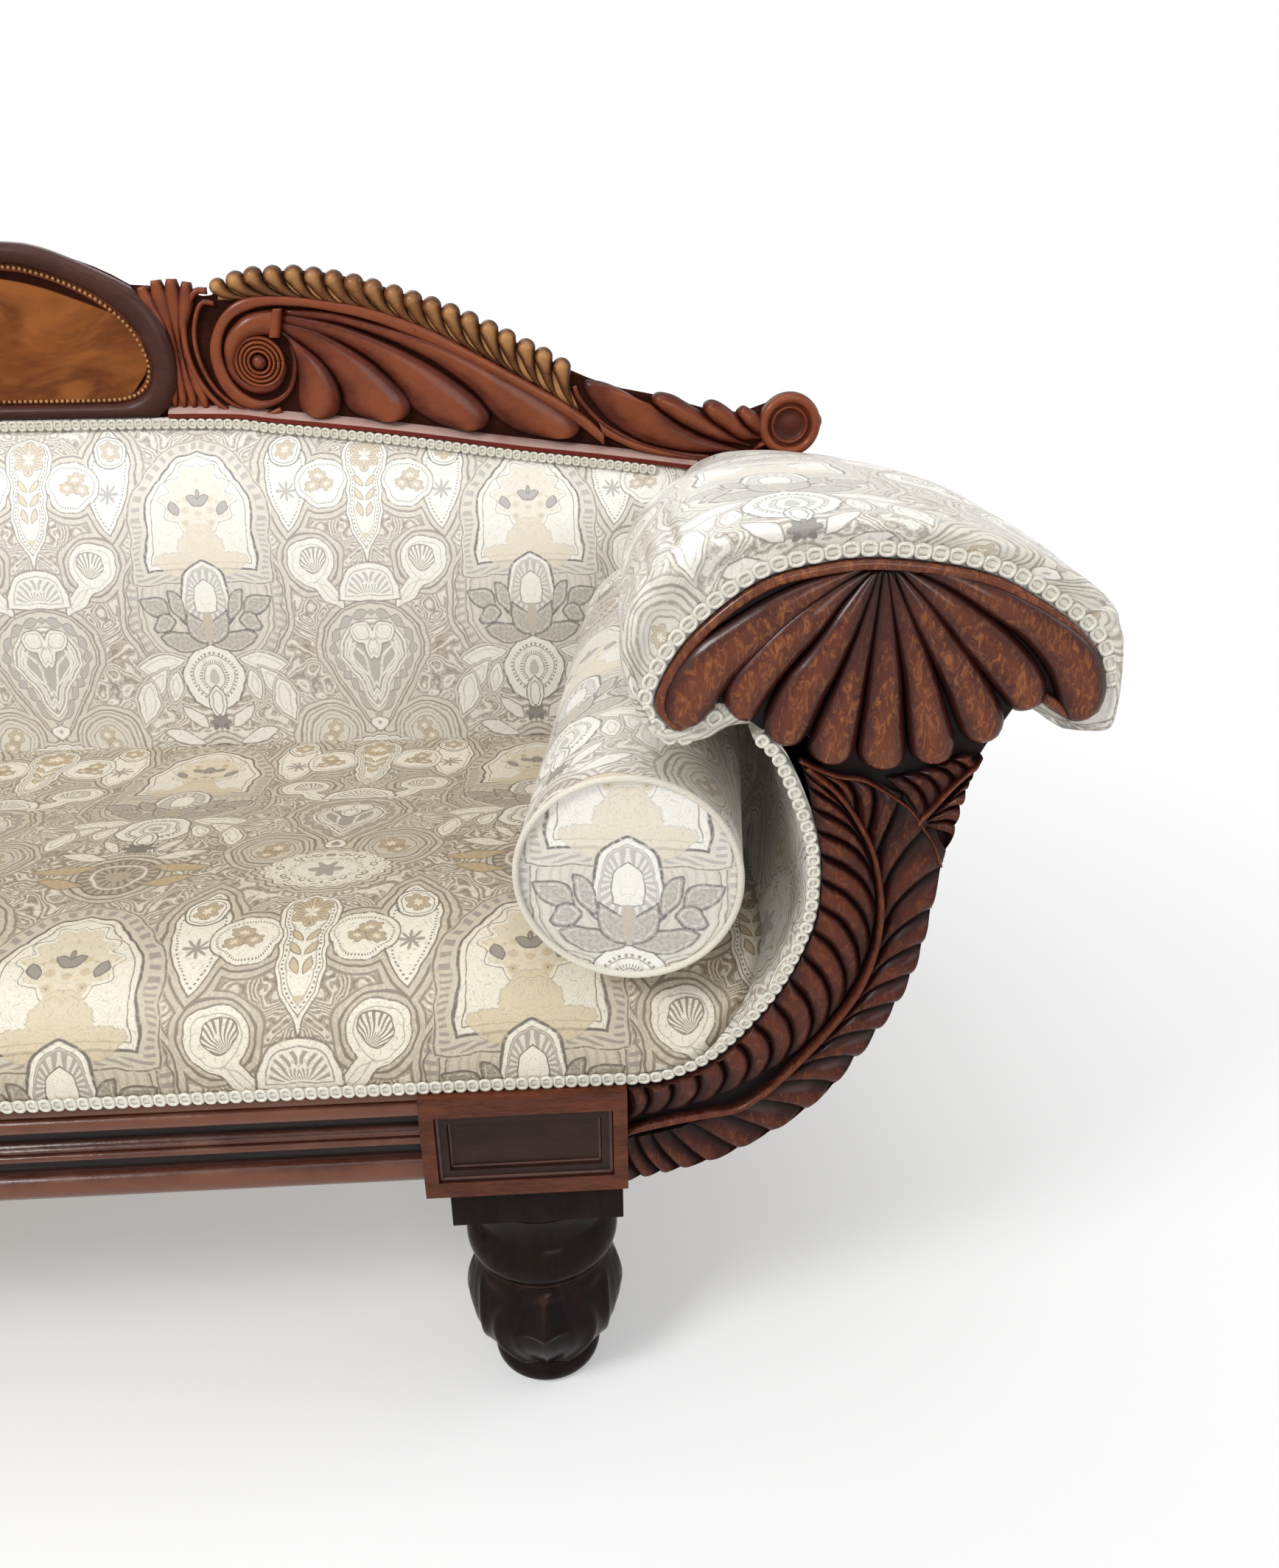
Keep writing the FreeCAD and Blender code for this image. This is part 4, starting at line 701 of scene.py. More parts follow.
    # Cups, shell and heart
    comma = cup.smin(c.leaf(b, 0.056, -0.135, -2.2, 0.042, 0.014), 0.008)
    c.fill(comma, CREAM, at=0.002)
    c.edge(comma, TAUPE, 0.0013, at=0.002)
    inner = c.round(b, 0.057, -0.115, 0.014)
    c.band(inner, -0.011, 0.0, TAUPE, c.turn(b, 0.05, -0.13), 34.0, 0.75)
    c.edge(inner, TAUPE, 0.001)
    c.edge(comma, GREY, 0.0009, 0.6, at=-0.0035)
    shell = c.round(b, 0.0, -0.158, 0.035).max(-0.162 - c.height(b, 0.0))
    c.fill(shell, CREAM)
    c.edge(shell, TAUPE, 0.0018)
    c.edge(shell, GREY, 0.0012, at=-0.006)
    c.band(shell, -0.018, -0.0085, GREY, c.turn(b, 0.0, -0.158), 24.0)

    # Nested teardrop with a chain of beads
    drop_turn = c.turn(b, 0.0, -0.222)
    c.fill(drop, IVORY, at=0.003)
    c.edge(drop, TAUPE, 0.0016, at=0.003)
    bead = (drop + 0.0065).abs() - (drop_turn * 8.5).sin().abs() * 0.0042
    c.fill(bead, GREY, 0.75)
    c.edge(bead, TAUPE, 0.0012, at=0.0004)
    c.fill(drop, CREAM, at=-0.013)
    for depth, tint, thick in ((0.013, TAUPE, 0.0013), (0.0175, TAUPE, 0.0024),
                               (0.0215, GREY, 0.0012), (0.0255, TAUPE, 0.0026)):
        c.edge(drop, tint, thick, 0.75, at=-depth)
    c.fill(drop, GREY, 0.9, at=-0.029)
    c.edge(c.leaf(b, 0.006, -0.247, 1.2, 0.042, 0.014), CREAM, 0.0024, 0.95)
    heart = c.round(b, 0.0095, -0.196, 0.0115)
    heart = heart.smin(c.leaf(b, 0.0, -0.197, -math.pi / 2, 0.032, 0.014), 0.007)
    c.fill(heart, CREAM)
    c.edge(heart, TAUPE, 0.0014)
    c.edge(heart, GREY, 0.001, at=-0.0035)

    # Swirls and round rose below it
    c.fill(swirl, IVORY, at=0.002)
    for depth, tint, thick in ((0.002, TAUPE, 0.0016), (-0.0035, TAUPE, 0.0028),
                               (-0.0085, GREY, 0.0014), (-0.0125, TAUPE, 0.0014)):
        c.edge(swirl, tint, thick, 0.7, at=depth)
    c.posy(b, 0.05, -0.307, 0.0095)
    c.posy(b, 0.057, -0.317, 0.0075)
    c.fill(rose, CREAM, 0.9)
    c.edge(rose, TAUPE, 0.0014)
    c.edge(rose, GREY, 0.001, at=-0.004)
    small = c.step((rose + 0.014).abs(), 0.005, 0.006, 0.75)
    c.lay(small * heads.ramp(0.2, 0.27) * c.step(heads, 0.34, 0.4, 1.0), TAUPE)
    c.edge(rose, TAUPE, 0.001, at=-0.0235)
    c.fill(c.flower(b, 0.0, -0.352, 0.012, 6.0, 0.3), GREY, 0.8)
    eye = c.round(b, 0.0, -0.302, 0.009)
    c.fill(eye, CREAM)
    c.edge(eye, TAUPE, 0.0014)
    c.fill(eye, GREY, at=-0.005)

    # Grey leaves over all, three to a side and one upright
    outline = None
    for x, y, angle, length, width in (
            (0.04, -0.175, 0.57, 0.034, 0.018), (0.024, -0.177, 1.02, 0.032, 0.016),
            (0.034, -0.179, -0.28, 0.024, 0.017), (0.003, -0.207, 0.27, 0.048, 0.023),
            (0.004, -0.205, 1.15, 0.04, 0.017)):
        one = c.leaf(a, x, y, angle, length, width)
        c.fill(one, (0.54, 0.505, 0.445))
        c.edge(one, CREAM, 0.0009, 0.6, at=-0.0028)
        c.edge(one, DUSK, 0.0018, 0.8)
        outline = one if outline is None else outline.min(one)
    c.lay(c.step(outline, -0.001, 0.0, 0.4) * speck.ramp(0.47, 0.56), TAUPE)
    c.fill(c.round(a, 0.0, -0.188, 0.0062, 0.35), SAND)

    figure = ((c.noise(c.ground, 80.0, 1.5, 0.5, 1.0) * 8.0).fract() - 0.5).abs()
    c.lay(c.step(figure, 0.06, 0.13, 0.3), GREY)
    fleck = c.noise(c.vector, 1100.0, 2.0, 0.6)
    c.lay(fleck.ramp(0.5, 0.75) * 0.14, TAUPE)
    # Gamma node for the seat's painted shade: 1.0 here, raised on the seat's copy to darken it.
    deep = c.node("ShaderNodeGamma", Color=c.colour, Gamma=1.0)
    deep.name = "deep"
    c.colour = c.mix(0.0, deep.outputs[0], (0.6, 0.47, 0.28))
    c.colour.node.name = "warm_shade"
    thread = (c.u * 3900.0).sin() * (c.v * 3900.0).sin()
    c.set(Base_Color=c.colour, Roughness=0.34 + fleck * 0.12, Sheen_Weight=0.15,
          Sheen_Roughness=0.4, Specular_IOR_Level=0.75)
    c.bump(thread * 0.3 + fleck * 0.7, 0.0005, 0.5)
    return c.material


cloth = damask("damask")
# The seat's copy: the same cloth darkened and warmed as painted shade.
shaded_seat_cloth = cloth.copy()
shaded_seat_cloth.name = "damask_seat_shaded"
shaded_seat_cloth.node_tree.nodes["deep"].inputs["Gamma"].default_value = 1.95
shaded_seat_cloth.node_tree.nodes["warm_shade"].inputs[0].default_value = 0.12


def plain_cloth(name, colour, dark, scale=2600.0):
    paint = Paint(name)
    where = paint.place()
    split = paint.node("ShaderNodeSeparateXYZ", Vector=where)
    x, y, z = (paint.value(split.outputs[k]) for k in range(3))
    weave = ((x * scale).sin() + (y * scale).sin()) * (z * scale).sin() * 0.5 + 0.5
    patch = paint.noise(where, 6.0, 4.0)
    mixed = paint.mix(patch.ramp(0.3, 0.75) * 0.5 + weave * 0.22, colour, dark)
    paint.set(Base_Color=mixed, Roughness=0.85, Sheen_Weight=0.2)
    paint.bump(weave + patch, 0.0004, 0.5)
    return paint.material


back_cloth = plain_cloth("back_cotton", (0.66, 0.61, 0.5), (0.5, 0.45, 0.35))
web_cloth = plain_cloth("jute_web", (0.5, 0.42, 0.29), (0.3, 0.24, 0.16), 1500.0)


def braid_paint(name):
    paint = Paint(name)
    where = paint.place()
    strand = paint.noise(where, 900.0, 2.0, 0.6)
    patch = paint.noise(where, 30.0, 3.0)
    wear_and_light = paint.attribute("wear_and_light")
    colour = paint.mix(strand.ramp(0.35, 0.7), (0.6, 0.57, 0.47), (0.82, 0.8, 0.72))
    colour = paint.mix(patch.ramp(0.45, 0.8) * 0.4, colour, (0.52, 0.49, 0.39))
    # Painted shade: the band under the loops, low in the attribute, turns dark brown.
    colour = paint.mix((1.0 - wear_and_light.ramp(0.0, 0.5)) * 0.75, colour, (0.2, 0.13, 0.09))
    paint.set(Base_Color=colour, Roughness=0.8, Sheen_Weight=0.3)
    paint.bump(strand, 0.0004, 0.6)
    return paint.material


braid = braid_paint("gimp_braid")


# Arm outlines, on a unit grid across its reach and up its rise
ARM_OUTER = ((0.0, 0.0), (0.148, 0.026), (0.262, 0.054), (0.438, 0.133), (0.571, 0.249),
             (0.66, 0.376), (0.701, 0.552), (0.744, 0.695), (0.821, 0.789))
ARM_INNER = ((0.0, 0.185), (0.105, 0.193), (0.219, 0.233), (0.346, 0.335), (0.417, 0.442),
             (0.432, 0.52), (0.417, 0.608), (0.346, 0.723), (0.293, 0.765))
FAN_LEFT_HOOK = ((0.293, 0.765), (0.238, 0.791), (0.194, 0.803), (0.127, 0.771),
                 (0.093, 0.779), (0.065, 0.819))
FAN_TOP = ((0.065, 0.819), (0.133, 0.9), (0.262, 0.97), (0.386, 0.994), (0.522, 1.0),
           (0.725, 0.978), (0.873, 0.928), (0.969, 0.873), (1.0, 0.813))
FAN_RIGHT_HOOK = ((1.0, 0.813), (0.981, 0.777), (0.938, 0.767), (0.864, 0.797), (0.821, 0.789))
ROLL_OUTLINE = ((0.213, 0.777), (0.167, 0.741), (0.12, 0.723), (0.059, 0.761), (0.009, 0.839),
                (0.006, 0.916), (0.074, 0.99), (0.198, 1.034), (0.352, 1.048), (0.522, 1.048),
                (0.722, 1.026), (0.907, 0.972), (1.034, 0.9), (1.077, 0.807), (1.052, 0.729),
                (1.006, 0.709), (0.938, 0.729), (0.877, 0.773))


def arm(points):
    p = np.asarray(points, float)
    return np.stack([BLOCK_OUT + p[:, 0] * ARM_REACH, RAIL_LOW + p[:, 1] * ARM_RISE], 1)


def tapered(line, share):
    """The arm narrows and its roll sinks towards the back."""
    outermost = BLOCK_OUT + 1.08 * ARM_REACH
    lip, sunk_top, narrowing, drawn_in = 600.0, 690.0, 0.3, 11.0
    roll_top = RAIL_LOW + 1.048 * ARM_RISE
    sink = (sunk_top - lip) / (roll_top - lip)
    x, z = line[:, 0], line[:, 1]
    weight = np.clip((z - RAIL_TOP) / (lip - RAIL_TOP), 0, 1)
    narrow = 1 - share * narrowing * weight
    new_x = outermost - drawn_in * share * weight - (outermost - x) * narrow
    new_z = np.where(z < lip, z, lip + (z - lip) * (1 - share * (1 - sink)))
    return np.stack([new_x, new_z], 1)


def share_at(station):
    """How far the taper has gone at a place along the arm, eased between its stations."""
    s = np.array([0, 0.15, 0.33, 0.5, 0.66, 0.83, 1.0])
    w = np.array([0, 0.02, 0.12, 0.33, 0.58, 0.8, 1.0])
    return float(np.interp(station, s, w))


def on_plane(line, y):
    y = np.broadcast_to(np.asarray(y, float), (len(line),))
    return np.stack([line[:, 0], y, line[:, 1]], 1)


# Carving: a lobe between two edges that run from root to tip
def section(line, rise, plane, sunk=1.2):
    """One ring of a carving: its front raised towards -Y, closed behind the plane."""
    front = np.stack([line[:, 0], plane - rise, line[:, 1]], 1)
    return np.vstack([front, [(x, plane + sunk, z) for x, z in (line[-1], line[0])]])


def lobe(name, left, right, height, plane, stations=26, across=13, root=0.45, flat=0.8,
         lift=0.0, steep=0.62, end=0.985, wear_and_light_from=0.0, skew=1.0, tip=0.0, grow=0.0,
         worn_and_lit=1.0):
    """left and right are edges in (x, z); the lobe swells towards -Y from the plane."""
    a, b = spline(left, stations), spline(right, stations)
    along, keep = np.linspace(0, 1, stations), np.linspace(0, end, stations)
    a, b = sampled(a, keep, along), sampled(b, keep, along)
    t = (1 - np.cos(np.linspace(0, np.pi, across))) / 2
    swell = np.sqrt(np.clip(4 * t ** skew * (1 - t ** skew), 0, 1)) ** flat
    width = np.linalg.norm(a - b, axis=1)
    spread = (b - a) / (width[:, None] + 1e-6) * (grow * np.sin(np.pi * along ** 0.8))[:, None]
    a, b = a - spread, b + spread
    tall = np.minimum(height * (root + (1 - root) * np.sin(along * np.pi / 2) ** 0.8),
                      np.maximum(width * steep, 0.6))
    if tip:
        tall = tall * np.sqrt(1 - np.clip((along - 1 + tip) / tip, 0, 0.97) ** 2)
    rings, wear_and_light = [], []
    for i in range(stations):
        line = a[i] + (b[i] - a[i]) * t[:, None]
        rings.append(section(line, tall[i] * swell + lift, plane))
        # Painted highlight along each lobe's crest and painted shade down its sides, together with
        # the wear on its top.
        top = swell ** worn_and_lit * np.clip(tall[i] / height, 0, 1) ** 0.7
        wear_and_light.append(np.concatenate([wear_and_light_from + (1 - wear_and_light_from) * top, [0, 0]]))
    return grid(name, rings, wear_and_light=np.array(wear_and_light))


def drop(name, spine, halves, height, plane, **more):
    """A lobe given by its middle line and half widths."""
    line = spline(spine, 22)
    half = np.interp(np.linspace(0, 1, 22), np.linspace(0, 1, len(halves)), halves)
    side = normals_2d(line) * half[:, None]
    return lobe(name, line + side, line - side, height, plane, **more)


def board(name, outline, low, high, bevel=1.5):
    """A flat board with softened edges, from a closed outline in (x, z)."""
    line = np.asarray(outline, float)
    if np.sum(line[:, 0] * np.roll(line[:, 1], -1) - np.roll(line[:, 0], -1) * line[:, 1]) < 0:
        line = line[::-1]
    softened = ((low + bevel, 0.0), (low + 0.3 * bevel, 0.35 * bevel), (low, bevel))
    along = np.roll(line, -1, 0) - np.roll(line, 1, 0)
    along /= np.linalg.norm(along, axis=1)[:, None] + 1e-9
    inward = np.stack([-along[:, 1], along[:, 0]], 1)
    stack = [on_plane(line, high)] + [on_plane(line + inward * k, y) for y, k in softened]
    return sharpen(grid(name, stack), 50)


# Front rail, blocks and legs
def rail_moulding():
    """Fillet, round, cove, a middle bead between fillets, cove and a heavy lower round."""
    face, low, top = FRONT + 20.0, RAIL_LOW, RAIL_TOP

    def arc(z0, z1, base, rise, count=9):
        angle = np.linspace(0, np.pi, count)
        return [(base - rise * math.sin(t), z0 + (z1 - z0) * (1 - math.cos(t)) / 2)
                for t in angle]

    profile = [(face + 4, low)] + arc(low + 1, low + 24, face + 3, 9)
    profile += arc(low + 26, low + 37, face + 3, -5) + [(face + 1, low + 38)]
    profile += arc(low + 39.5, low + 46.5, face, 4.5, 7) + [(face + 0.6, low + 47)]
    profile += arc(low + 47.5, low + 52, face, 3, 5) + [(face + 1, low + 53)]
    profile += arc(low + 54.5, low + 66, face + 3, -5) + [(face + 1, low + 67)]
    profile += arc(low + 68, low + 82, face, 7.5)
    profile += [(face + 1.5, low + 83.5), (face - 4, low + 84), (face - 5, low + 85),
                (face - 5, top - 1), (face - 4, top), (FRONT + 36, top), (FRONT + 36, low)]
    profile = np.array(profile)
    xs = np.linspace(-BLOCK_IN, BLOCK_IN, 41)
    rings = [np.stack([np.full(len(profile), x), profile[:, 0], profile[:, 1]], 1) for x in xs]
    # Dirt and painted shade: the coves and steps set back from the face are marked darker, the
    # proud rounds lighter.
    hollow = np.clip(1 - (profile[:, 0] - (face - 6)) / 12, 0, 1)
    return sharpen(grid("rail_moulding", rings, wear_and_light=np.tile(hollow, (len(xs), 1))), 55)


finish(rail_moulding(), rail_wood, "sofa", ["front_rail_moulding"])


def block_beads():
    """Two fine beads round the steps of the block's sunk panel."""
    half_high = 43.6
    parts = []
    for inset, y, r in ((12.6, FRONT + 4.2, 1.9), (21.2, FRONT + 8.2, 1.5)):
        x0, x1 = BLOCK_IN + inset, BLOCK_OUT - inset
        z0, z1 = BLOCK_MIDDLE - half_high + inset, BLOCK_MIDDLE + half_high - inset
        rings = []
        for x, z, sx, sz in ((x0, z0, 1, 1), (x1, z0, -1, 1), (x1, z1, -1, -1), (x0, z1, 1, -1),
                             (x0, z0, 1, 1)):
            rings.append([(x + sx * r * math.cos(k), y - r * math.sin(k), z + sz * r * math.cos(k))
                          for k in np.linspace(-0.4, np.pi + 0.4, 11)])
        parts.append(grid("bead", rings, caps=False, wear_and_light=np.full((5, 11), 0.85)))
    return sharpen(joined("block_beads_right", parts), 40)


pair(block_beads(), bead_wood)


def front_leg():
    """Square plate over a turned cavetto, ring, neck, melon bulb carved with leaves, foot."""
    half_plate, leaf_low, leaf_high = 68.0, 22, 122
    centre_x, centre_y = (BLOCK_IN + BLOCK_OUT) / 2 + 7, FRONT + half_plate + 6
    profile = [(0.5, 0), (36, 0), (42, 1), (46, 5), (47.5, 12), (46.5, 18), (45, 21), (45.2, 24),
               (48.5, 29), (54, 38), (60.5, 50), (65.5, 63), (68, 78), (67, 92), (63.5, 106),
               (59, 117), (56.6, 124), (56.8, 127.5), (59, 130), (60, 133), (61.5, 137),
               (64, 142), (65.2, 148), (64.8, 156), (62.5, 164), (60, 169), (57.6, 173),
               (56.6, 176.5), (56.6, 180), (57, 187), (58.4, 196), (60.6, 204), (63, 210),
               (63, 214.5)]
    line = spline(profile, 190)
    around = 168
    angle = np.linspace(0, 2 * np.pi, around, endpoint=False)
    ahead = 0.3 + 0.7 * np.clip(-np.sin(angle), 0, 1) ** 2
    rings, wear_and_light = [], []
    for radius, z in line:
        phase = (angle + np.pi / 2) * 4 / (2 * np.pi)
        across = np.abs((phase + 0.5) % 1.0 - 0.5) * 2
        rise, worn_and_lit = np.zeros(around), np.full(around, 0.4)
        if leaf_low < z < leaf_high:
            s = (z - leaf_low) / (leaf_high - leaf_low)
            fade = min(1.0, (z - leaf_low) / 12, (leaf_high - z) / 16)
            fade = math.sin(math.pi / 2 * fade) ** 2
            edge = 0.84 * math.sin(math.pi * (0.06 + 0.78 * s)) ** 0.6
            rim = np.exp(-((across - edge) / 0.07) ** 2)
            bowl = np.sin(np.pi * np.clip(across / edge, 0, 1)) ** 2
            rib = np.exp(-(across / (0.035 + 0.03 * s)) ** 2)
            bend = s - 0.62 + 0.9 * (across - 0.22) ** 2
            branch = np.exp(-(bend / 0.028) ** 2) * np.clip(1 - across / 0.5, 0, 1)
            branch = branch * np.clip(across / 0.08, 0, 1)
            vein = np.exp(-((across - 0.3 - 0.22 * math.sin(math.pi * s)) / 0.03) ** 2)
            rise = fade * ahead * (3.4 * rim + 3.2 * rib + 2.6 * branch + 1.4 * vein
                                   - 3.2 * bowl - 1.2 * np.clip((across - edge) / 0.3, 0, 1))
            # Rims, ribs and veins painted lighter and the bowls darker: wear with painted
            # highlight and painted shade.
            worn_and_lit = 0.3 + 0.35 * rim + 0.4 * rib + 0.5 * branch + 0.2 * vein - 0.1 * bowl
        # Painted highlights: glints on the small leaf tips below the neck and a bright ring round
        # the neck's bead.
        tips = math.exp(-((z - 119) / 5) ** 2) * np.cos(phase * np.pi * 2) ** 2
        rise = rise + 2.6 * tips * ahead
        worn_and_lit = worn_and_lit + 0.5 * tips + 0.6 * math.exp(-((z - 133) / 2.5) ** 2)
        r = radius + rise
        rings.append(np.stack([centre_x + r * np.cos(angle), centre_y + r * np.sin(angle),
                               np.full(around, z)], 1))
        wear_and_light.append(np.clip(worn_and_lit, 0, 1))
    turned = grid("turning", rings, wear_and_light=np.array(wear_and_light))
    plate = []
    for z, inset in ((214, 1.5), (214.4, 0.3), (216, 0), (248.6, 0), (249.8, 0.4), (250, 1.5)):
        h = half_plate - inset
        side = np.linspace(-h, h, 9)
        square = ([(x, -h) for x in side] + [(h, y) for y in side[1:]]
                  + [(x, h) for x in side[-2::-1]] + [(-h, y) for y in side[-2:0:-1]])
        plate.append([(centre_x + x, centre_y + y, z) for x, y in square])
    top = grid("plate", plate, wear_and_light=np.full((6, 32), 0.5))
    return sharpen(joined("front_leg_carved_right", [turned, top]), 50)


pair(front_leg(), leg_wood, "sofa", ["front_leg_right"])


# Arm front: board, leaf and fan
def head_outline():
    runs = (ARM_OUTER, FAN_RIGHT_HOOK[::-1], FAN_TOP[::-1], FAN_LEFT_HOOK[::-1],
            ARM_INNER[::-1])
    lines = [spline(arm(run), 48)[:-1] for run in runs]
    return np.vstack(lines + [arm(ARM_INNER)[:1]])


# The arm leaf: middle lines of its feathers, from the rib to the edge
LEAF_RIGHT = (
    (921, 576, 920, 585, 916, 593, 909, 599),
    (933, 561, 934, 574, 932, 587, 928, 595),
    (940, 543, 944, 560, 947, 574, 949, 585),
    (947, 519, 952, 540, 960, 559, 968, 571),
    (954, 488, 961, 508, 974, 527, 989, 540),
    (953, 463, 963, 483, 977, 497, 992, 507),
    (948, 439, 960, 457, 975, 469, 990, 476),
    (941, 418, 953, 434, 968, 443, 986, 449),
    (930, 397, 944, 410, 959, 417, 977, 422),
    (916, 378, 931, 391, 947, 396, 966, 398),
    (901, 359, 919, 369, 935, 373, 954, 373),
    (883, 343, 901, 349, 920, 351, 940, 347),
    (865, 329, 884, 331, 902, 329, 922, 321),
    (847, 316, 863, 312, 882, 305, 899, 296),
    (826, 307, 840, 298, 857, 287, 874, 277),
    (805, 299, 817, 288, 833, 274, 850, 264),
    (791, 295, 798, 283, 810, 267, 824, 253),
    (778, 294, 783, 282, 792, 267, 804, 253),
    (766, 292, 769, 281, 776, 267, 786, 251),
    (754, 290, 756, 280, 761, 267, 769, 250),
)
LEAF_LEFT = (
    (906, 594, 900, 597, 895, 601, 890, 606),
    (919, 576, 911, 584, 902, 592, 894, 597),
    (931, 556, 921, 568, 909, 576, 899, 582),
    (940, 534, 930, 548, 916, 559, 903, 564),
    (947, 509, 936, 526, 922, 539, 906, 547),
    (948, 481, 938, 502, 924, 517, 908, 527),
    (944, 453, 937, 475, 924, 495, 908, 506),
    (936, 429, 931, 452, 920, 473, 906, 485),
    (925, 407, 923, 430, 914, 450, 902, 463),
    (911, 384, 913, 407, 906, 427, 895, 441),
    (896, 368, 899, 389, 894, 407, 885, 420),
    (880, 355, 884, 374, 880, 391, 871, 402),
    (864, 344, 868, 362, 864, 378, 854, 386),
    (846, 333, 851, 353, 846, 368, 837, 375),
    (825, 324, 832, 343, 828, 357, 818, 365),
    (804, 318, 811, 334, 808, 350, 799, 359),
    (786, 316, 791, 331, 788, 345, 784, 356),
    (770, 311, 775, 325, 772, 339, 768, 350),
    (755, 306, 759, 320, 757, 334, 753, 346),
)
TURNED_LEFT = (
    (975, 567, 970, 578, 964, 587, 957, 593),
    (982, 577, 977, 587, 971, 594, 966, 597),
    (991, 588, 986, 595, 981, 600, 977, 601),
    (999, 597, 996, 602, 991, 605, 987, 607),
    (1007, 604, 1003, 607, 1000, 610, 997, 611),
)
TURNED_RIGHT = (
    (976, 560, 984, 559, 993, 558, 1001, 552),
    (978, 563, 986, 566, 993, 568, 1003, 566),
    (983, 570, 991, 577, 998, 581, 1006, 582),
    (991, 579, 997, 586, 1003, 590, 1009, 592),
    (999, 589, 1004, 595, 1008, 598, 1011, 600),
)
RIB = (760, 298, 774, 303, 800, 309, 828, 314, 851, 318, 870, 331, 885, 346, 907, 373, 924, 397,
       940, 426, 949, 458, 951, 488, 948, 514, 941, 541, 928, 567, 912, 589, 891, 608)
TURNED_RIB = (971, 562, 981, 574, 990, 586, 1001, 598, 1016, 611)
FRILL = (886, 613, 899, 606, 914, 600, 930, 597, 941, 591, 954, 582, 965, 573, 975, 559, 984, 545,
         991, 527)


def feathers(group, height, reach, tip, **more):
    """Lobes side by side, each between the lines midway to its neighbours."""
    spines = [flat_pairs(points) for points in group]
    spines = [spline(np.vstack([s, s[-1] + (s[-1] - s[-2]) * reach]), 30) for s in spines]
    edges = [1.5 * spines[0] - 0.5 * spines[1]]
    edges += [(one + other) / 2 for one, other in zip(spines, spines[1:])]
    edges.append(1.5 * spines[-1] - 0.5 * spines[-2])
    return [lobe("feather", left, right, height, FACE, stations=34, across=15, tip=tip, lift=1.2,
                 **more) for left, right in zip(edges, edges[1:])]


def cord_line(points, thick, high, count=70, slim=0.6):
    """A rounded rib along a line, slimmer towards its far end."""
    line = spline(points, count)
    half = np.linspace(thick, thick * slim, count)[:, None]
    side = normals_2d(line) * half
    return lobe("rib", line + side, line - side, high, FACE, count, 9, root=1.0, flat=0.6,
                steep=3.0, end=1.0)


def arm_leaf():
    """Feathered lobes on both sides of a midrib, and a leaf turned over below the fan."""
    parts = feathers(LEAF_RIGHT, 9.5, 0.55, 0.7, root=0.3, flat=1.35, steep=0.46, skew=1.45)
    parts += feathers(LEAF_LEFT, 9.5, 0.4, 0.3, root=0.3, flat=1.35, steep=0.46, skew=0.7)
    parts += feathers(TURNED_LEFT, 8.0, 0.8, 0.3, root=0.4, flat=1.1, steep=0.6)
    parts += feathers(TURNED_RIGHT, 9.0, 0.9, 0.6, root=0.4, flat=1.1, steep=0.7)
    parts += [cord_line(RIB, 3.6, 10.0, 120), cord_line(TURNED_RIB, 2.2, 9.0, 40),
              cord_line(FRILL, 1.7, 7.5, 60, 0.9)]
    leaf = joined("arm_leaf", parts)
    outer, inner = spline(arm(ARM_OUTER), 160), spline(arm(ARM_INNER), 160)
    widest = int(np.argmax(inner[:, 0]))
    for vert in leaf.data.vertices:
        x, z = vert.co.x / MM, vert.co.z / MM
        if x < 930:
            z = max(z, float(np.interp(x, outer[:, 0], outer[:, 1])) + 0.8)
        x = min(x, float(np.interp(z, outer[:, 1], outer[:, 0])) - 0.8)
        if x < 880 and z < 480:
            z = min(z, float(np.interp(x, inner[:widest, 0], inner[:widest, 1])) - 0.8)
        elif z > 343:
            x = max(x, float(np.interp(z, inner[:, 1], inner[:, 0])) + 0.8)
        vert.co.x, vert.co.z = max(x, BLOCK_OUT + 0.3) * MM, z * MM
    return leaf


face_board = board("arm_board_right", head_outline(), FACE, FACING_BACK)
pair(face_board, leaf_wood, "sofa", ["arm_facing_right"])
leaf_right = arm_leaf()
leaf_right.name = "arm_leaf_right"
pair(leaf_right, leaf_wood)

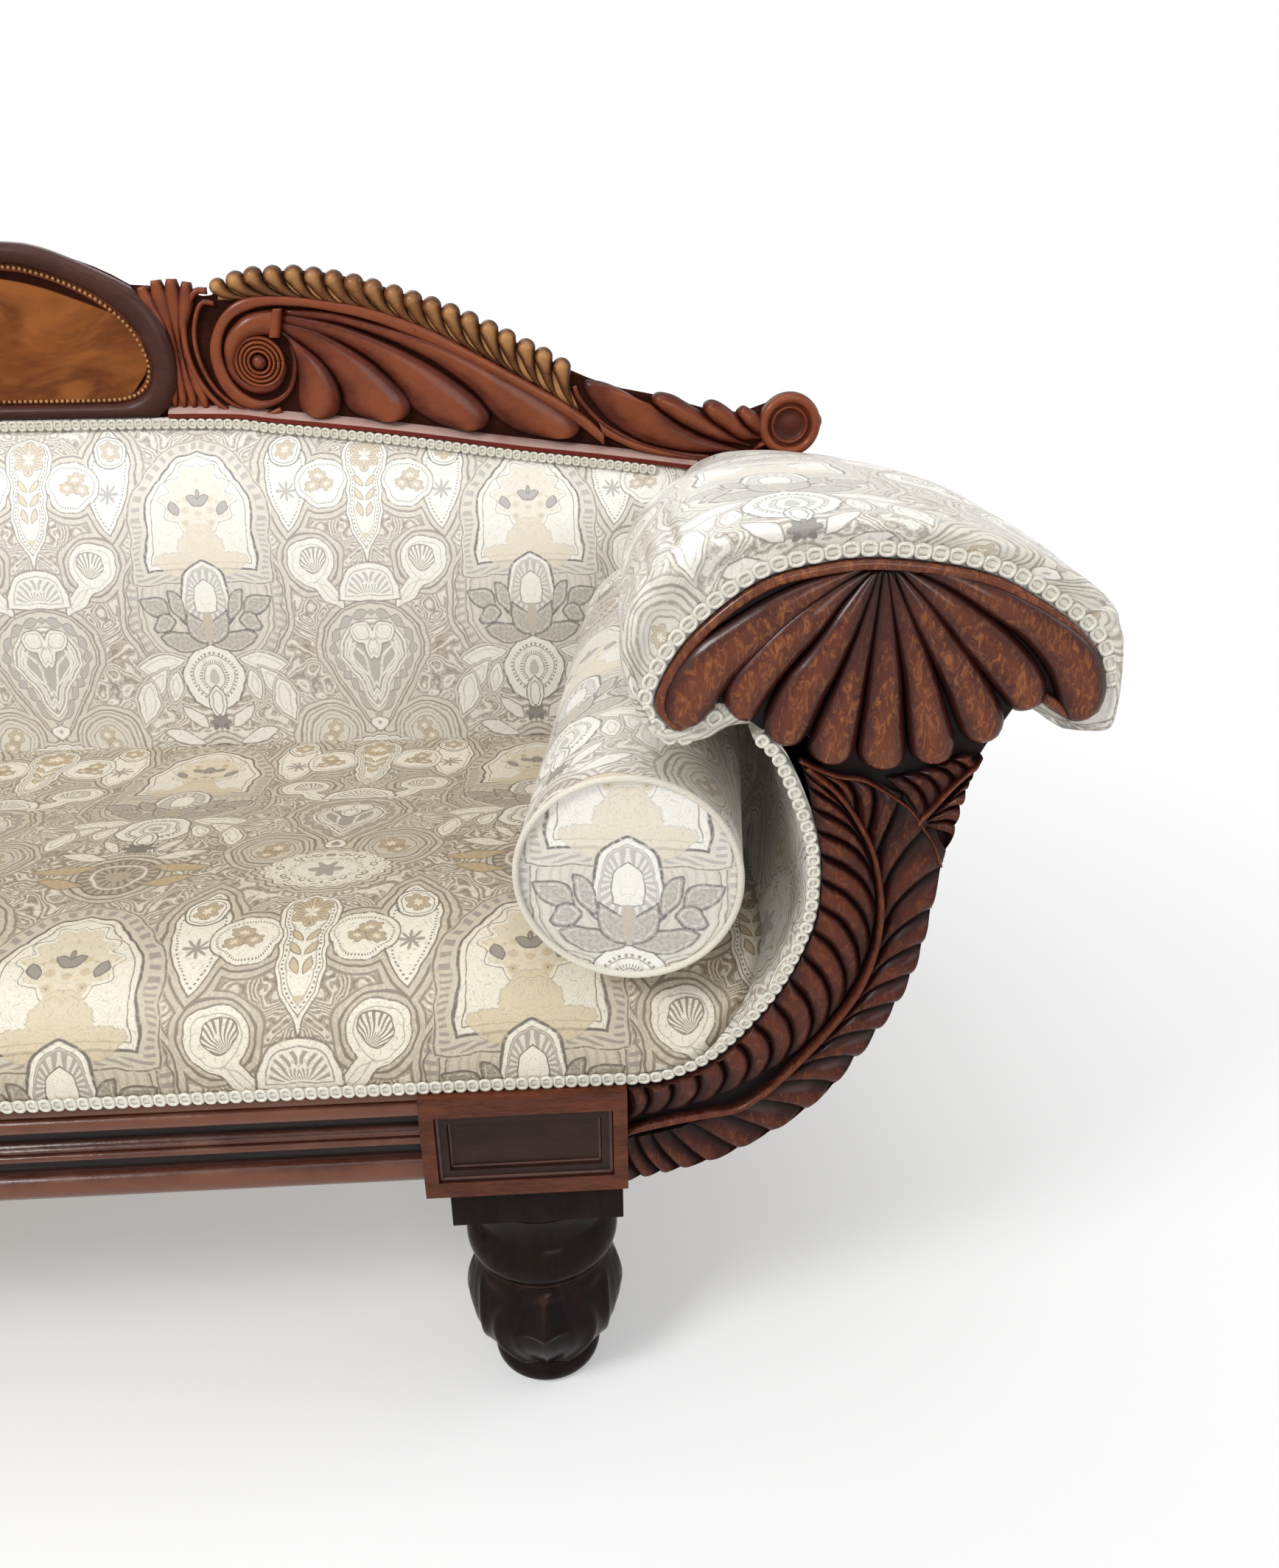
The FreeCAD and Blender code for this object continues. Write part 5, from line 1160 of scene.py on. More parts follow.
# The fan's nine lobes as left and right edges from the hub to the tip
FAN = (
    ((918, 744, 886, 739, 858, 728, 835, 714, 814, 700, 800, 683, 793, 668, 792, 656, 796, 647,
      805, 642),
     (922, 742, 899, 731, 879, 717, 860, 698, 842, 681, 830, 664, 823, 653, 815, 644, 805, 642)),
    ((923, 741, 903, 733, 879, 721, 863, 709, 849, 694, 837, 679, 832, 666, 834, 655, 840, 647),
     (926, 740, 907, 723, 892, 704, 877, 687, 863, 667, 855, 652, 849, 645, 840, 647)),
    ((927, 740, 923, 737, 906, 718, 889, 695, 873, 676, 862, 654, 860, 640, 864, 631, 873, 626),
     (930, 740, 924, 724, 915, 701, 906, 679, 897, 657, 889, 635, 881, 627, 873, 626)),
    ((930, 740, 921, 709, 912, 684, 903, 662, 894, 639, 890, 626, 893, 617, 904, 613),
     (932, 740, 931, 732, 928, 701, 925, 672, 923, 643, 921, 620, 913, 613, 904, 613)),
    ((933, 740, 931, 705, 928, 672, 925, 643, 924, 622, 928, 612, 941, 608),
     (935, 740, 942, 705, 949, 671, 953, 642, 957, 621, 955, 611, 941, 608)),
    ((935, 740, 943, 709, 950, 682, 955, 651, 959, 623, 963, 614, 975, 610),
     (938, 739, 946, 724, 959, 700, 972, 673, 983, 645, 990, 627, 989, 615, 975, 610)),
    ((939, 740, 953, 713, 966, 691, 979, 666, 990, 641, 996, 629, 1006, 622),
     (941, 740, 961, 723, 979, 703, 998, 681, 1013, 660, 1022, 642, 1019, 629, 1006, 622)),
    ((942, 741, 970, 714, 988, 694, 1005, 674, 1020, 656, 1028, 647, 1038, 648),
     (945, 742, 972, 731, 999, 716, 1022, 698, 1038, 682, 1048, 666, 1047, 654, 1038, 648)),
    ((946, 742, 976, 731, 1003, 716, 1026, 700, 1043, 682, 1054, 664, 1061, 645, 1068, 638,
      1077, 637),
     (947, 744, 971, 743, 996, 737, 1022, 727, 1049, 712, 1068, 699, 1082, 683, 1089, 665,
      1088, 649, 1077, 637)),
)


FAN_HUB = (935, 742)


def settled(points):
    """An edge of the fan, with its root drawn up to the rim and its tip let down."""
    edge = flat_pairs(points)
    out = np.clip(np.linalg.norm(edge - FAN_HUB, axis=1) / 70, 0, 1)
    return edge + np.stack([np.full(len(edge), 1.5), 4.0 - 6.5 * out], 1)


def fan():
    parts = []
    for index, (left, right) in enumerate(FAN):
        parts.append(lobe(f"fan_{index}", settled(left), settled(right), 13.6, FACE,
                          stations=34, across=17, root=0.4, flat=0.95, steep=0.56, grow=1.9,
                          wear_and_light_from=0.06, worn_and_lit=2.2))
    top = spline(arm(FAN_LEFT_HOOK[2:] + FAN_TOP[1:] + FAN_RIGHT_HOOK[1:4]), 90)
    top = shifted(top, -0.8)
    parts.append(lobe("rim", top, shifted(top, -7.5), 6.5, FACE, stations=90, across=9,
                      root=1.0, flat=0.4, steep=0.9, end=1.0))
    return joined("arm_fan_carved_right", parts)


pair(fan(), fan_wood, "sofa", ["arm_fan_right"])

# Crest wing: ribbon, volute, leaves, gadroons, tip
CREST_BASE = ((0, 735), (346, 735), (433, 728.4), (558, 714), (684, 696), (781, 684), (887, 669))
BAND_OUT = (781, 710, 761, 729, 732, 748, 690, 772, 648, 795, 594, 823, 539, 842, 501, 849,
            463, 854, 439, 855, 417, 854, 399, 847, 385, 834, 376, 818, 371, 802, 372, 783,
            379, 763, 391, 749, 407, 742, 424, 743, 439, 749, 450, 759, 457, 773, 459, 787,
            457, 800, 452, 810)
BAND_IN = (781, 697, 755, 718, 732, 734, 704, 751, 648, 783, 593, 809, 538, 830, 500, 839,
           470, 844, 437, 845, 420, 842, 404, 836, 393, 826, 386, 812, 384, 799, 386, 783,
           392, 769, 403, 757, 417, 751, 430, 752, 441, 757, 449, 767, 453, 780, 455, 790,
           454, 800, 452, 810)
TAIL_UP = (775, 723, 798, 708, 824, 697, 857, 688, 889, 681, 915, 676)
TAIL_LOW = (781, 707, 802, 697, 820, 690, 854, 682, 885, 677, 915, 674)
RIDGES = (((376, 860, 364, 859, 352, 840, 347, 816, 349, 791, 357, 769, 370, 750, 386, 738,
            404, 735, 423, 736, 440, 742), 3.4),
          ((382, 848, 369, 848, 360, 830, 357, 808, 361, 784, 371, 763, 386, 748, 402, 741),
           2.8))
HORN_OUT = (445, 842, 429, 841, 414, 838, 401, 829, 390, 816, 385, 800, 386, 783, 392, 770,
            404, 760, 418, 757, 432, 760, 442, 768, 448, 780, 449, 790)
HORN_IN = (438, 815, 425, 816, 411, 812, 402, 803, 397, 791, 397, 782, 401, 774, 409, 768,
           419, 766, 429, 768, 437, 774, 442, 782, 444, 788, 446, 790)
EYE = (421.0, 790.0)
LEAVES = (
    ((446, 816, 452, 810, 458, 792, 458, 773, 455, 751, 458, 740, 471, 732),
     (447, 822, 466, 807, 484, 792, 496, 775, 502, 756, 500, 740, 488, 731, 471, 732)),
    ((448, 820, 478, 797, 494, 777, 503, 757, 504, 745, 514, 735, 534, 728, 550, 725),
     (448, 830, 482, 822, 508, 808, 534, 791, 555, 772, 571, 755, 576, 741, 568, 730, 550, 725)),
    ((449, 828, 505, 809, 542, 785, 566, 757, 575, 740, 595, 726, 617, 718, 636, 715),
     (450, 838, 483, 832, 515, 824, 553, 809, 591, 790, 629, 765, 651, 745, 660, 730, 652, 718,
      636, 715)),
    ((450, 836, 520, 823, 592, 792, 640, 757, 660, 732, 681, 716, 708, 708, 735, 704),
     (453, 842, 497, 839, 538, 829, 593, 813, 634, 797, 676, 775, 718, 752, 747, 732, 758, 719,
      752, 708, 735, 704)),
)
BULBS = (388, 864, 407, 869, 425, 873, 445, 874, 466, 874, 486, 872, 506, 869, 526, 865, 545,
         860, 566, 854, 585, 848, 604, 842, 623, 835, 642, 827, 662, 818, 680, 809, 700, 799,
         718, 790, 737, 779)
TAILS = (416, 853, 436, 855, 458, 854, 477, 852, 496, 848, 517, 844, 539, 841, 558, 836, 577,
         830, 595, 823, 613, 815, 632, 806, 650, 798, 668, 789, 685, 779, 701, 769, 718, 759,
         735, 748, 753, 737)
TIP = (
    ((933, 689, 911, 697, 889, 705, 867, 716, 850, 727, 833, 740),
     (926, 686, 880, 687, 850, 692, 824, 699, 803, 710, 781, 727, 767, 744, 761, 754, 759, 765,
      774, 765, 788, 761, 803, 754, 818, 746, 833, 740)),
    ((946, 694, 932, 699, 915, 710, 899, 721, 888, 730, 869, 742, 856, 749, 841, 752, 834, 748,
      833, 741),
     (944, 691, 911, 698, 889, 706, 867, 717, 850, 728, 838, 737, 833, 741)),
    ((955, 703, 945, 708, 934, 718, 925, 728, 910, 739, 899, 743, 891, 740, 889, 733),
     (953, 699, 932, 699, 915, 710, 899, 721, 889, 733)),
    ((960, 708, 958, 716, 953, 725, 944, 731, 934, 736, 927, 732, 926, 729),
     (960, 704, 954, 703, 945, 708, 934, 718, 926, 729)),
)


def wing():
    """The main carving between the crest's ledge and the gadroons."""
    parts = [lobe("band", BAND_OUT, BAND_IN, 9.5, BOARD, 150, 11,
                  root=1.0, flat=0.3, steep=0.8, end=0.995),
             lobe("tail", TAIL_UP, TAIL_LOW, 8.0, BOARD, 40, 9,
                  root=1.0, flat=0.35, steep=0.8)]
    for index, (points, half) in enumerate(RIDGES):
        line = spline(points, 80)
        parts.append(lobe(f"ridge_{index}", shifted(line, half), shifted(line, -half),
                          6.5, BOARD, 80, 9, root=1.0, flat=0.6, steep=0.9))
    parts.append(lobe("horn", HORN_OUT, HORN_IN, 12.5, BOARD, 90, 15,
                      root=1.0, flat=0.7, steep=0.62))
    turn = np.linspace(0, 2 * np.pi, 65)
    circle = np.stack([np.cos(turn), np.sin(turn)], 1)
    for radius, half, high in ((24.2, 2.3, 7.5), (19.6, 2.2, 8.4), (15.2, 2.1, 9.2),
                               (11.0, 2.0, 10.0)):
        parts.append(lobe("ring", np.array(EYE) + circle * (radius - half),
                          np.array(EYE) + circle * (radius + half), high, BOARD, 65, 9,
                          root=1.0, flat=0.55, steep=3.0, end=1.0))
    rings, worn_and_lit = [], []
    for share in np.linspace(0, 1, 9):
        radius = 7.6 * math.cos(share * math.pi / 2) + 0.2
        depth = BOARD - 6 - 7 * math.sin(share * math.pi / 2)
        rings.append([(EYE[0] + radius * math.cos(k), depth, EYE[1] + radius * math.sin(k))
                      for k in turn[:-1]])
        # The button lighter towards its crown: wear with a painted highlight.
        worn_and_lit.append([0.3 + 0.6 * share] * 64)
    parts.append(grid("button", rings, wear_and_light=np.array(worn_and_lit)))
    for left, right in LEAVES:
        parts.append(lobe("leaf", left, right, 12.5, BOARD, 48, 19,
                          root=0.42, flat=0.85, steep=0.6, wear_and_light_from=0.05, worn_and_lit=1.9))
    parts.append(lobe("collar", [(441, 842.5), (437, 829), (434, 815)],
                      [(452, 843), (449, 829), (446, 814.5)], 13.5, BOARD, 20, 9, root=1.0,
                      flat=0.35, steep=1.6, end=1.0))
    return joined("crest_wing_right", parts)


def comma(name, bulb, tail, radius, height, plane):
    """A drop with a round head, whose tail sweeps down and runs in along the ribbon."""
    across = tail - bulb
    spine = spline([tail + across * 0.16, bulb + across * np.array([0.62, 0.9]),
                    bulb + across * np.array([0.26, 0.55]), bulb], 26)
    grow = np.linspace(0, 1, 26)
    half = 1.2 + (radius - 1.2) * grow ** 1.5
    side = normals_2d(spine)
    cap = np.linspace(0, np.pi / 2, 11)[1:]
    ahead = spine[-1] - spine[-2]
    ahead /= np.linalg.norm(ahead)
    head = spine[-1] + ahead * (np.sin(cap) * radius)[:, None]
    line = np.vstack([spine, head])
    half = np.concatenate([half, np.maximum(np.cos(cap) * radius, 0.15)])
    side = np.vstack([side, np.tile(side[-1], (10, 1))])
    angle = np.linspace(0, np.pi, 15)
    swell = np.sin(angle) ** 0.75
    rings, wear_and_light = [], []
    for point, out, h in zip(line, side, half):
        across_line = point + out * h * np.cos(angle)[:, None]
        tall = height * min(1.0, (h / radius) ** 0.8)
        rings.append(section(across_line, tall * swell, plane))
        # Bulbs painted light and the tails and sides dark: wear, painted highlight and painted
        # shade.
        wear_and_light.append(np.concatenate([swell ** 1.7 * (0.3 + 0.7 * (tall / height) ** 1.6), [0, 0]]))
    return grid(name, rings, wear_and_light=np.array(wear_and_light))


def gadroons():
    parts = []
    bulbs, tails = flat_pairs(BULBS), flat_pairs(TAILS)
    for index, (bulb, tail) in enumerate(zip(bulbs, tails)):
        radius = 10.2 if index else 8.5
        parts.append(comma(f"gadroon_{index}", bulb, tail, radius, 12.5, BOARD))
    strip = spline(np.vstack([bulbs - (0, 4), tails[-1:] + (2, -2)]), 60)
    low = spline(np.vstack([tails[:1] + (-30, -2), tails + (0, -3)]), 60)
    parts.append(lobe("strip", strip, low, 2.0, BOARD, 60, 7, root=1.0, flat=0.3, end=1.0))
    return joined("crest_gadroons_carved_right", parts)


def wing_tip():
    parts = []
    for left, right in TIP:
        parts.append(lobe("tip_leaf", left, right, 12.5, BOARD, 44, 17,
                          root=0.4, flat=0.85, steep=0.62, wear_and_light_from=0.05, worn_and_lit=1.8))
    fillet = spline((750, 760, 755, 747, 768, 731, 782, 718, 804, 705, 829, 694, 867, 685, 900,
                     681), 50)
    parts.append(lobe("tip_fillet", shifted(fillet, 3.0), shifted(fillet, -3.0), 6.0, BOARD, 50,
                      9, root=1.0, flat=0.5))
    centre = np.array((985.0, 715.5))
    profile = ((34.5, -1), (34.5, 4), (33.5, 8), (31, 11), (27.5, 11.5), (24.5, 9.5),
               (23.3, 5.5), (22, 4), (20.6, 6.5), (18.8, 8), (17.2, 6.8), (16.2, 4.2),
               (14, 3.2), (9, 3.8), (4, 4.6), (0.3, 4.8))
    turn = np.linspace(0, 2 * np.pi, 80, endpoint=False)
    rings = [[(centre[0] + r * math.cos(k), BOARD - h, centre[1] + r * math.sin(k))
              for k in turn] for r, h in profile]
    # Raised rings lighter, the sunk ground darker: wear with painted highlight and painted shade.
    worn_and_lit = [[min(1, max(0, h) / 11)] * 80 for r, h in profile]
    parts.append(grid("roundel", rings, wear_and_light=np.array(worn_and_lit)))
    parts.append(drop("curl", [(944, 686), (955, 694), (966, 697), (976, 693)], (1, 3.4, 3.6, 1),
                      8.0, BOARD, root=1.0, steep=1.0))
    return joined("crest_tip_carved_right", parts)


def reeds():
    """The fanned bundle between the tablet and the wing."""
    parts = []
    heads = ((311, 866, 9.5), (326, 872, 9.5), (342, 873, 9.5), (357, 870, 8.5))
    heels = ((326, 741, 5.5), (336, 740, 5.5), (347, 739, 5.8), (360, 738, 6.5))
    waist = ((331, 806), (335.5, 806), (340, 806), (344.5, 806))
    for index, ((hx, hz, hr), (lx, lz, lr), (wx, wz)) in enumerate(zip(heads, heels, waist)):
        parts.append(drop(f"reed_{index}", [(wx, wz - 6), (0.75 * wx + 0.25 * hx, wz + 22),
                                            (0.3 * wx + 0.7 * hx, hz - 22), (hx, hz)],
                          (2.2, 3.0, 5.2, hr * 0.9, hr * 0.95, hr * 0.5), 8.0, BOARD, across=11,
                          root=0.6, steep=0.7))
        parts.append(drop(f"heel_{index}", [(wx, wz + 6), (0.75 * wx + 0.25 * lx, wz - 26),
                                            (0.25 * wx + 0.75 * lx, lz + 18), (lx, lz - 2)],
                          (2.2, 2.4, 3.6, lr * 0.95, lr * 0.85, 1.0), 6.5, BOARD, across=11,
                          root=0.6, steep=0.7))
    left = spline([(312, 858), (322, 838), (329, 806), (328, 770), (318, 740)], 40)
    right = spline([(362, 866), (352, 838), (348, 806), (354, 770), (368, 740)], 40)
    parts.append(lobe("ground", left, right, 1.5, BOARD, 40, 7, root=1.0, flat=0.3, end=1.0))
    return joined("crest_reeds_carved_right", parts)


def crest_ledge():
    """A fillet along the foot of the carving, sloping back under the leaves."""
    line = spline(CREST_BASE, 200)
    xs = np.linspace(320, 884, 110)
    low = np.interp(xs, line[:, 0], line[:, 1])
    profile = ((1, -0.4), (-11.4, -0.4), (-12, 0.2), (-12, 4.0), (-11.4, 4.8), (-4, 9.0),
               (1, 11.5))
    rings = [[(x, BOARD + y, z + up) for y, up in profile] for x, z in zip(xs, low)]
    # Painted highlight: the sloping top takes the pale colour as if catching the light; the front
    # face stays dark red.
    wear_and_light = np.tile((0.3, 0.3, 0.3, 0.35, 1, 1, 0.9), (110, 1))
    return sharpen(grid("crest_ledge_right", rings, wear_and_light=wear_and_light), 35)


pair(crest_ledge(), ledge_wood_lit_top)
pair(wing(), carving, "sofa", ["crest_scroll_right", "crest_leaves_right"])
pair(gadroons(), gilt_wear_and_light, "sofa", ["crest_gadroons_right"])
pair(wing_tip(), carving, "sofa", ["crest_tip_right"])
pair(reeds(), carving, "sofa", ["crest_reeds_right"])

# Tablet in the middle of the crest
ARCH_SIDE = ((314, 739), (329, 757), (335, 781), (334, 807), (327, 833), (313, 854), (296, 867),
             (272, 880), (242, 894), (212, 905), (181, 909), (90, 913), (0, 914))
BEAD_SIDE = ((0, 753.5), (147, 753.5), (248, 753.5), (279, 755.5), (298, 765), (306, 782),
             (304, 801), (292, 827), (267, 852), (237, 869), (207, 880), (176, 885.5), (90, 888),
             (0, 888.5))


def tablet_frame():
    """A rounded frame between the tablet's outline and its string of beads."""
    outer = spline(((0, 735.2), (150, 735.2), (290, 735.2)) + ARCH_SIDE, 150)
    inner = shifted(spline(BEAD_SIDE, 150), -3.0)
    angle = np.linspace(0, np.pi, 13)
    across = ((1 - np.cos(angle)) / 2)[:, None]
    rise = 13.0 * np.sin(angle) ** 0.75
    rings = [section(start + (end - start) * across, rise, BOARD, 1.0)
             for start, end in zip(both_halves(outer), both_halves(inner))]
    rings.append(rings[0])
    return grid("crest_frame", rings, caps=False)


def bead_string():
    pitch, radius = 5.4, 2.35
    line = spline(BEAD_SIDE, 400)
    full = np.vstack([both_halves(line), line[:1]])
    spots = even(full, int(arc_length(full)[-1] / pitch) + 1)[:-1]
    work = bmesh.new()
    for x, z in spots:
        made = bmesh.ops.create_icosphere(work, subdivisions=2, radius=radius * MM)
        bmesh.ops.translate(work, verts=made["verts"], vec=(x * MM, (BOARD - 4.2) * MM, z * MM))
    mesh = bpy.data.meshes.new("crest_beads")
    work.to_mesh(mesh)
    work.free()
    # Beads lighter at their fronts and dark back towards the ground: painted highlight and painted
    # shade.
    depths = np.array([v.co.y for v in mesh.vertices]) / MM
    set_wear_and_light(mesh, np.clip((BOARD - 3.6 - depths) / 2.6, 0, 1))
    return placed("crest_beads", mesh)


def bead_ground():
    """The quirk that the beads lie in, inside the frame."""
    line = spline(BEAD_SIDE, 200)
    full = np.vstack([both_halves(line), line[:1]])
    return lobe("crest_bead_ground", shifted(full, 4.5), shifted(full, -4.5), 2.6, BOARD,
                len(full), 7, root=1.0, flat=0.3, steep=1.0, end=1.0)


finish(tablet_frame(), frame_wood, "sofa", ["crest_arch"])
finish(bead_string(), gilt_wear_and_light, "sofa", ["crest_bead_string"])
finish(bead_ground(), carving, "sofa")


# Upholstery
def fabric_uv(rings, origin=(0.0, 0.0), main=None):
    """Cloth coordinates in metres: lengths round the main ring, and along each column."""
    rings = np.asarray(rings, float)
    loop = np.concatenate([rings, rings[:, :1]], 1)
    main = len(rings) // 2 if main is None else main
    round_it = arc_length(loop[main]) * MM
    step = np.linalg.norm(np.diff(loop, axis=0), axis=2)
    along = np.concatenate([np.zeros((1, loop.shape[1])), np.cumsum(step, 0)]) * MM
    u = np.broadcast_to(round_it, along.shape)
    return np.stack([u + origin[0], along + origin[1]], 2)


def depth_at(station):
    return FACE + (REAR_FRAME - FACE) * station


def station_at(y):
    """The place along the arm, from 0 at its face to 1 at its rear frame."""
    return np.clip((y - FACE) / (REAR_FRAME - FACE), 0, 1)


def nook_line(share, proud, count=50):
    line = spline(arm(ARM_INNER), count)
    return tapered(shifted(line, proud), share)


def arm_roll():
    """The mushroom roll: full over its front edge, sunk and narrowed at the back."""
    count = 360
    base = spline(arm(ROLL_OUTLINE), count)
    head = spline(arm(FAN_LEFT_HOOK[:-1] + FAN_TOP + FAN_RIGHT_HOOK[1:]), count)
    tight = base.copy()
    widest, side_give, lowest, low_give = 1082, 30, 641, 16
    beyond, below = np.maximum(base[:, 0] - widest, 0), np.maximum(lowest - base[:, 1], 0)
    tight[:, 0] -= beyond - side_give * (1 - np.exp(-beyond / side_give))
    tight[:, 1] += below - low_give * (1 - np.exp(-below / low_give))
    turn = np.linspace(0, 1, count)
    closing = np.clip(1 - np.minimum(turn, 1 - turn) / 0.035, 0, 1)
    rings = []

    def puckers(strength):
        """Pleats pulled in where the cloth turns the two ends of the head."""
        pull = np.zeros(count)
        for place, deep in ((0.235, 0.6), (0.265, 0.7), (0.3, 1.3), (0.735, 1.3), (0.765, 0.7)):
            away = turn - place
            pull -= deep * (np.exp(-np.abs(away) / 0.0055)
                            - 0.4 * np.exp(-((away - 0.014) / 0.007) ** 2))
        return pull * strength

    def front_of(line, y):
        """The ring's ends stay behind the board, where they close."""
        depth = y + (FACE + 14 - y) * closing if np.min(y) < FACE + 14 else y
        return on_plane(line, depth)

    fronts = ((FACE + 14, 0.0, -3.0), (FACE - 0.2, 0.0, -1.5), (FACE - 0.6, 0.0, 1.5),
              (FACE - 0.8, 0.25, 3.0), (FACE - 1.4, 0.5, 1.5), (FACE - 4.0, 0.66, 0.4),
              (FACE - 5.0, 0.82, 0.2), (FACE - 3.0, 0.94, 0.0), (FACE + 2.0, 1.0, 0.0),
              (FACE + 9.0, 1.015, 0.0))
    for y, share, out in fronts:
        line = shifted(head, out) * (1 - share) + tight * share
        line = line + normals_2d(line) * puckers(7.0 * math.sin(math.pi * share))[:, None]
        rings.append(front_of(line, y - puckers(2.6 * share)))
    for station in np.linspace(0.045, 1.0, 48):
        ease = min(1.0, station / 0.35)
        ease = ease * ease * (3 - 2 * ease)
        line = tapered(tight + (base - tight) * ease, share_at(station))
        ripple = 1.3 * np.sin(turn * 19 + station * 7) * min(1, station * 8)
        dent = puckers(7.0 * max(0.0, 1 - station / 0.22) ** 1.3)
        line = line + normals_2d(line) * (ripple + dent - 0.3)[:, None]
        rings.append(front_of(line, np.full(count, depth_at(station))))
    return grid("arm_roll_cover_right", rings, uv=fabric_uv(rings, (0.068, 0.085), 16))


def arm_lining():
    """The stuffed inside of the scroll, from the seat up to the roll's lip."""
    rings = []
    fronts = ((0.0, 0.4), (-0.0035, 3.5), (-0.004, 6.5), (0.0, 8.6))
    places = list(fronts) + [(s, LINING_PROUD + 3.0 * math.sin(math.pi * s))
                             for s in np.linspace(0.02, 1.0, 40)]
    for station, proud in places:
        share = share_at(max(station, 0))
        face = nook_line(share, proud)
        bed = nook_line(share, -20.0)[::-1]
        rings.append(on_plane(np.vstack([face, bed]), depth_at(station)))
    return grid("arm_lining_right", rings, uv=fabric_uv(rings, (0.02, 0.0)))


def arm_outside():
    """The cloth on the outer side, from under the roll to the rail."""
    rings = []
    line = spline(arm(ARM_OUTER), 60)
    for station in np.linspace(0.04, 1.0, 30):
        share = share_at(station)
        outer = tapered(shifted(line, -1.2 * math.sin(math.pi * station)), share)
        inner = tapered(shifted(line, 6.0), share)[::-1]
        rings.append(on_plane(np.vstack([outer, inner]), depth_at(station)))
    return grid("arm_outside_right", rings, uv=fabric_uv(rings, (0.1, 0.1)))


pair(arm_roll(), cloth, "sofa", ["arm_roll_right"])
pair(arm_lining(), cloth, "sofa", ["arm_pad_right"])
pair(arm_outside(), cloth, "sofa", ["arm_outer_cover_right"])


NOOKS = {}


def nook_x(z, station):
    """Where the arm's lining stands at a height, at a place along the arm."""
    share = round(share_at(station), 4)
    if share not in NOOKS:
        line = nook_line(share, LINING_PROUD, 80)
        NOOKS[share] = line[:int(np.argmax(line[:, 0])) + 1]
    line = NOOKS[share]
    return float(np.interp(z, line[:, 1], line[:, 0]))


def stuffed(name, surface, uv, under):
    """Close a stuffed surface with the side that doesn't show, under or behind it."""
    hidden = np.repeat(uv[:, -1:], under.shape[1] + 1, 1)
    return grid(name, np.concatenate([surface, under], 1), uv=np.concatenate([uv, hidden], 1))


def seat():
    """One long stuffed seat with a full front edge, its ends tucked under the linings."""
    profile = spline([(FRONT + 12.4, SEAT_BASE), (FRONT + 11.6, 360), (FRONT + 16, 378),
                      (FRONT + 36, 411), (FRONT + 68, 432), (FRONT + 110, 439.5),
                      (FRONT + 170, 441), (FRONT + 280, 431), (FRONT + 400, 409),
                      (FRONT + 480, 397), (FRONT + 569, 394)], 96)
    run = arc_length(profile) * MM
    above_lining, cloth_start = 352, 0.249
    columns = np.linspace(-1, 1, 121)
    surface = np.zeros((len(columns), len(profile), 3))
    uv = np.zeros((len(columns), len(profile), 2))
    for j, (y, z) in enumerate(profile):
        reach = nook_x(z, station_at(y)) - 0.5 if z > above_lining else BLOCK_OUT - 1
        x = columns * reach
        sag = 1.8 * np.sin(np.pi * (columns + 1) * 2.5) * math.sin(math.pi * j / 95)
        surface[:, j] = np.stack([x, np.full_like(x, y), z + sag * 0.6], 1)
        uv[:, j, 0] = x * MM
        uv[:, j, 1] = run[j] + cloth_start
    under = surface[:, ::-8].copy()
    under[:, :, 2] = SEAT_BASE
    under[:, :, 0] = np.clip(under[:, :, 0], -BLOCK_OUT + 1, BLOCK_OUT - 1)
    return stuffed("seat_cover", surface, uv, under)


def back():
    """The stuffed inside back, full at the seat and rolling over to the crest."""
    shape = np.array([(0.0, 0.0), (0.0, 0.13), (0.06, 0.38), (0.22, 0.62), (0.46, 0.81),
                      (0.74, 0.92), (0.9, 0.965), (0.93, 1.0)])
    cloth_start = 0.05
    top_line = spline(CREST_BASE, 200)
    columns = np.linspace(-1, 1, 121)
    count = 70
    surface = np.zeros((len(columns), count, 3))
    uv = np.zeros((len(columns), count, 2))
    for i, x in enumerate(columns * BACK_REACH):
        top = np.interp(min(abs(x), 880), top_line[:, 0], top_line[:, 1]) - 0.5
        line = np.stack([BACK_FOOT + (BOARD - BACK_FOOT) * shape[:, 0],
                         SEAT_BASE + (top - SEAT_BASE) * shape[:, 1]], 1)
        line = spline(line, count)
        run = arc_length(line) * MM
        for j, (y, z) in enumerate(line):
            edge = BACK_REACH
            if z < 640:
                edge = nook_x(min(max(z, 353), 560), station_at(y)) - 0.5
            px = np.sign(x) * min(abs(x), edge)
            surface[i, j] = (px, y, z)
            uv[i, j] = (px * MM, run[j] + cloth_start)
    under = surface[:, ::-8].copy()
    under[:, :, 1] = BOARD
    return stuffed("back_cover", surface, uv, under)


finish(seat(), shaded_seat_cloth, "sofa", ["seat_pad"])
finish(back(), cloth, "sofa", ["back_pad"])


